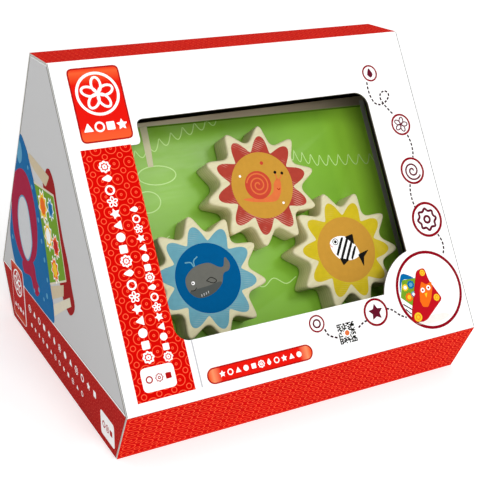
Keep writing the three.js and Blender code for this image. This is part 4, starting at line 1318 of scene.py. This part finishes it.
def gearMesh(look):
    # rings of one outline, from the bottom of the bore round the back, sides and face to the middle
    outline = toothed(look["point"], look["valley"], look["tipCut"], look["valleyCut"], steps=9)
    circle = outline / np.linalg.norm(outline, axis=1)[:, None]
    edge, thick = look["edge"], look["thickness"]
    rows = [(circle * look["bore"], look["boreDepth"]), (circle * look["bore"], 0.5),
            (circle * (look["bore"] + 0.5), 0)]
    quarter = [(moved(outline, edge * (1 - math.sin(angle))), edge * (1 - math.cos(angle)))
               for angle in np.radians(np.linspace(0, 90, 6))]
    rows += quarter + [(flat, thick - z) for flat, z in quarter[::-1]]
    rows += [(circle * radius, thick) for radius in look["rings"]]
    n = len(outline)
    points = np.concatenate([np.column_stack([flat, np.full(n, z)]) for flat, z in rows])
    k = np.arange(n)
    after = (k + 1) % n
    faces = []
    for row in range(len(rows) - 1):
        low, high = row * n, (row + 1) * n
        faces += np.stack([low + k, low + after, high + after, high + k], 1).tolist()
    faces += [k[::-1].tolist(), ((len(rows) - 1) * n + k).tolist()]
    return points, faces


def petalOutline(valley, look):
    # radius = valley + rise * |cos(half the teeth * angle)| to a power that narrows the petals' tips
    angle = np.arange(24 * look["teeth"]) * math.pi / (12 * look["teeth"])
    share = np.abs(np.cos(look["teeth"] / 2 * angle)) ** look["petalPower"]
    radius = valley + (look["petalTip"] - valley) * share
    return np.stack([radius * np.cos(angle), radius * np.sin(angle)], 1)


def petalInk(name, surface, colour, hatching, look):
    # paint with faint lighter hatching, slanting stripes that come and go
    def painted(point):
        across, up, _ = split(point)
        stripes = repeating(weighted(across, look["slope"][0], up, look["slope"][1]), look["stripe"])
        patches = remap(noise(point, *look["patches"]), *look["patchRange"], 0.0, hatching)
        hatch = calc("MULTIPLY", remap(stripes, *look["stripeEdge"], smooth=True), patches)
        return blend(hatch, uneven(point, colour, *look["cover"]), look["hatchColour"])
    return printedMaterial(name, surface, painted)


def snail():
    turn = np.linspace(0, 15.2, 70)
    circle = np.stack([np.cos(turn), np.sin(turn)], 1)
    winding = turned(circle * (0.9 + 0.47 * turn)[:, None], 20) * 0.98 + (-2.4, 0)
    body = [(-13.5, -8.8), (-8, -10.5), (2, -10.8), (9, -10), (12.6, -5), (13.5, 1.5), (11.6, 4.2),
            (8.6, 1.5), (7.4, -4), (3, -7.6), (-5, -7.9)]
    return [blob(body, "coral", 3, 6), disc(-2.4, 0, 9.0, "faceRed", 4), line(winding, 0.9, "coral", 5),
            line([(11, 3), (10.2, 7.5)], 0.7, "coral", 3), line([(12.6, 3), (14.6, 7)], 0.7, "coral", 3),
            disc(10.1, 8.1, 1.0, "black", 4, 14), disc(14.9, 7.6, 1.0, "black", 4, 14),
            stroke([(10.2, -2.2), (11.4, -3), (12.4, -2.2)], 0.5, "darkRed", 5, 4),
            disc(-14.2, 5.6, 0.8, "white", 3, 12), disc(13.6, -11.4, 0.8, "white", 3, 12),
            disc(1.5, 14, 1.2, "faceRed", 3, 12)]


def whale():
    body = [(-14, 1.5), (-11.5, 6.4), (-4, 9.4), (5, 8), (10.2, 3), (13.2, 2.4), (16.4, 6.6), (17.6, 2),
            (15.2, -1.2), (11, -1.8), (7, -6.8), (-1, -9.6), (-9.4, -8.4), (-13.4, -4)]
    belly = [(-13.4, -2.6), (-8, -3), (-1, -4.2), (6.6, -5), (6.6, -7), (-1, -9.6), (-9.4, -8.4),
             (-13, -4.6)]
    shapes = [blob(body, "whaleGrey", 3, 6), blob(belly, "bellyGrey", 4),
              disc(-9.4, 1.2, 1.1, "white", 5, 16), disc(-9.6, 1.2, 0.5, "black", 6, 12),
              stroke([(-12.8, -2.2), (-10.4, -3), (-8.6, -2)], 0.4, "black", 5, 4)]
    for spout in ([(-4.4, 9.6), (-5, 12.6), (-8.4, 14)], [(-3.8, 9.6), (-2.8, 12.8), (0.6, 14.2)]):
        shapes.append(stroke(spout, 0.7, "petalBlue", 3))
    shapes.append(stroke([(-1, -1), (2.4, -4), (5, -3.4), (2.6, -0.4), (-1, -1)], 0.45, "black", 5))
    return shapes + [line([(x, -8.2), (x + 0.4, -6.8)], 0.35, "grey", 5) for x in (-8, -6.4, -4.8, -3.2)]


def stripedFish():
    body = [(-12.5, 0), (-9, 5.2), (-2, 7.8), (5.5, 5), (9.4, 1.2), (9.4, -1.2), (5.5, -5), (-2, -7.8),
            (-9, -5.2)]
    shapes = [blob(body, "white", 3, 6)]
    for fin, cut in (
            ([(8.6, 0), (15, 6), (13.2, 0), (15, -6)], 1.0), ([(-3.6, 7.2), (1.2, 11.4), (4.4, 5.2)], 0.8),
            ([(-3.2, -7.2), (0.8, -10.8), (3.6, -5.6)], 0.8)):
        shapes.append(area(softened(fin, cut), "black", 4))
    for x, half, wide in ((-5.2, 6.6, 1.5), (-1.6, 7.6, 1.7), (2.0, 6.8, 1.6), (5.3, 4.9, 1.2)):
        stripe = [(x - wide / 2, half - 0.7), (x + wide / 2, half), (x + 0.9, 0), (x + wide / 2, -half),
                  (x - wide / 2, 0.7 - half), (x - 0.9, 0)]
        shapes.append(area(softened(stripe, 0.3), "black", 4))
    return shapes + [disc(-9, 1.6, 1.0, "black", 5, 14), hoop(-9, 1.6, 1.9, 0.4, "black", 5, 20),
                     stroke([(-12, -1.4), (-10.6, -2.4), (-9.6, -2.2)], 0.45, "coral", 5, 4)]


# each gear's animal, its turn in degrees and its shift
motifs = {"red": (snail, -8, (-0.5, 0)), "blue": (whale, 14, (-1, 0)), "yellow": (stripedFish, -32, (0, 0))}
gearPoints, gearFaces = gearMesh(gearLook)
for colour, gear in gears.items():
    frameHere = inside(surfaces["front"], *gear["centre"], -gearLook["depth"], gear["turn"])
    placedPoints = gearPoints * millimetre @ frameHere[:3, :3].T + frameHere[:3, 3]
    wood = bareWood(colour + "GearWood", frameHere, 0, gearLook["face"], gearLook["streak"],
                    gearLook["thickness"])
    piece = meshObject("gear_" + colour + "_fine", placedPoints, gearFaces, [wood], smooth=32)
    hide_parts("gear_" + colour)
    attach(piece, colour + "_gear")
    petals = petalOutline(gear["petalValley"], gearLook)
    motif, turn, shift = motifs[colour]
    shapes = [area(petals, "petals"), disc(0, 0, gearLook["disc"], gear["disc"], 2, 72)]
    petalPaint = petalInk(colour + "PetalInk", frameHere, inkTones[gear["petals"]], gear["hatching"],
                          gearLook)
    shapes += shifted(motif(), 1, turned(shift, turn - gear["turn"]), turn - gear["turn"])
    printPiece("print_gear_" + colour, inside(frameHere, 0, 0, gearLook["thickness"]), shapes,
               {**inks, "petals": petalPaint}, colour + "_gear")
    repaint("axle_peg_" + colour, wood)
print("gears made")

# Play prints on the end boards, and metal


smudgeLook = {"range": (0.35, 0.7), "cover": 0.2, "colour": tone(150, 152, 156)}


def plainMetal(name, colour, roughness, smudge, smudgeScale):
    # smudges make the metal rougher and a little greyer where they lie
    material, shader, point = newMaterial(name, np.eye(4), roughness, 1.0)
    marks = noise(point, smudgeScale, 4)
    rough = remap(marks, *smudgeLook["range"], roughness, roughness + smudge)
    feed(shader.inputs["Roughness"], rough)
    share = spread(marks, 0, smudgeLook["cover"])
    feed(shader.inputs["Base Color"], blend(share, colour, smudgeLook["colour"]))
    return material


repaint("mirror_disc", plainMetal("mirrorGlass", tone(236, 239, 242), 0.03, 0.08, 0.06))
steel = plainMetal("zincSteel", tone(196, 198, 200), 0.3, 0.2, 1.2)
for nodeName in cadNodes:
    if nodeName.startswith("screw_") or "axle_washer" in nodeName or "axle_screw" in nodeName:
        repaint(nodeName, steel)

# the waves run between the screws: their places, one wave, and how finely it is drawn
decor = {
    "leftDots": ((62, 92, 2.2), (66, 76, 1.6), (44, 134, 2.0), (30, 150, 2.6), (24, 165, 1.6), (0, 150, 2.2),
                 (0, 160, 1.5)),
    "rightFlowers": ((52, 126, 4.6), (66, 92, 3.8), (30, 158, 4.0), (0, 154, 5.2)),
    "leftWaves": ((-43, -21, 1, 23), [(0, 14), (5, 17.5), (10, 14), (15, 10.5), (20, 14)], 6),
    "rightWaves": (np.arange(-42, 36, 9.5), [(0, 16), (4, 21), (8, 16)], 5),
    "feathers": ((72, (-20, -12, -4, 4, 12)), (64.5, (-16, -8, 0, 8)), (57, (-12, -4, 4))),
    "eyes": (-24.99, 24.99), "eyeHeight": 106.07, "eyeRing": (8.0, 1.0), "pupil": 4.2,
    "glint": (1.3, 1.53, 1.3),  # across and up from the eye's middle, radius
    "beak": [(-6, 92), (6, 92), (0, 79)], "featherHalf": 4,
    "caps": ((0, 186), (-80.82, 32.72), (80.82, 32.72)), "capRing": (8, 1.2), "capDot": 3,
}


def waves(look, ink):
    # the same wave at each of its places
    places, wave, steps = look
    return [stroke(np.array(wave) + (x, 0), 1.0, ink, 1, steps) for x in places]


leftDecor = [disc(x, y, radius, "paleBlue", 1, 20) for x, y, radius in bothSides(decor["leftDots"])]
rightDecor = [shape for x, y, size in bothSides(decor["rightFlowers"])
              for shape in pictogram("petals", x, y, size, "orange", 1)]
glintAcross, glintUp, glint = decor["glint"]
eyes = [shape for x in decor["eyes"] for shape in (
    hoop(x, decor["eyeHeight"], *decor["eyeRing"], "clipRed"),
    disc(x, decor["eyeHeight"], decor["pupil"], "darkRed", 1, 36),
    disc(x + glintAcross, decor["eyeHeight"] + glintUp, glint, "white", 2, 18))]
half = decor["featherHalf"]
feathers = [stroke([(x, height), (x + half, height - half), (x + 2 * half, height)], 1.0, "clipRed")
            for height, places in decor["feathers"] for x in places]
beak = [area(softened(decor["beak"], 1.6), "yellow")]
discFace, plateFace = (inside(surfaces["right"], 0, 0, -depth) for depth in (3.5, 4))
for name, surface, shapes, slot in (
        ("print_board_left", boardLeftFace, leftDecor + waves(decor["leftWaves"], "paleBlue"), "blue_wood"),
        ("print_board_right", boardRightFace, rightDecor + waves(decor["rightWaves"], "orange"), "red_wood"),
        ("print_figure_discs", discFace, eyes, "white_wood"),
        ("print_figure_plate", plateFace, beak + feathers, "orange_wood")):
    printPiece(name, surface, shapes, inks, "box")
for side, ink, slot in (("left", "blue", "pale_blue_wood"), ("right", "orange", "yellow_wood")):
    capPrint = [hoop(x, y, *decor["capRing"], ink, 1, 36) for x, y in decor["caps"]]
    capPrint += [disc(x, y, decor["capDot"], ink, 1, 24) for x, y in decor["caps"]]
    printPiece("print_caps_" + side, inside(surfaces[side], 0, 0, -4.5), capPrint, inks, "box")
print("end boards decorated")
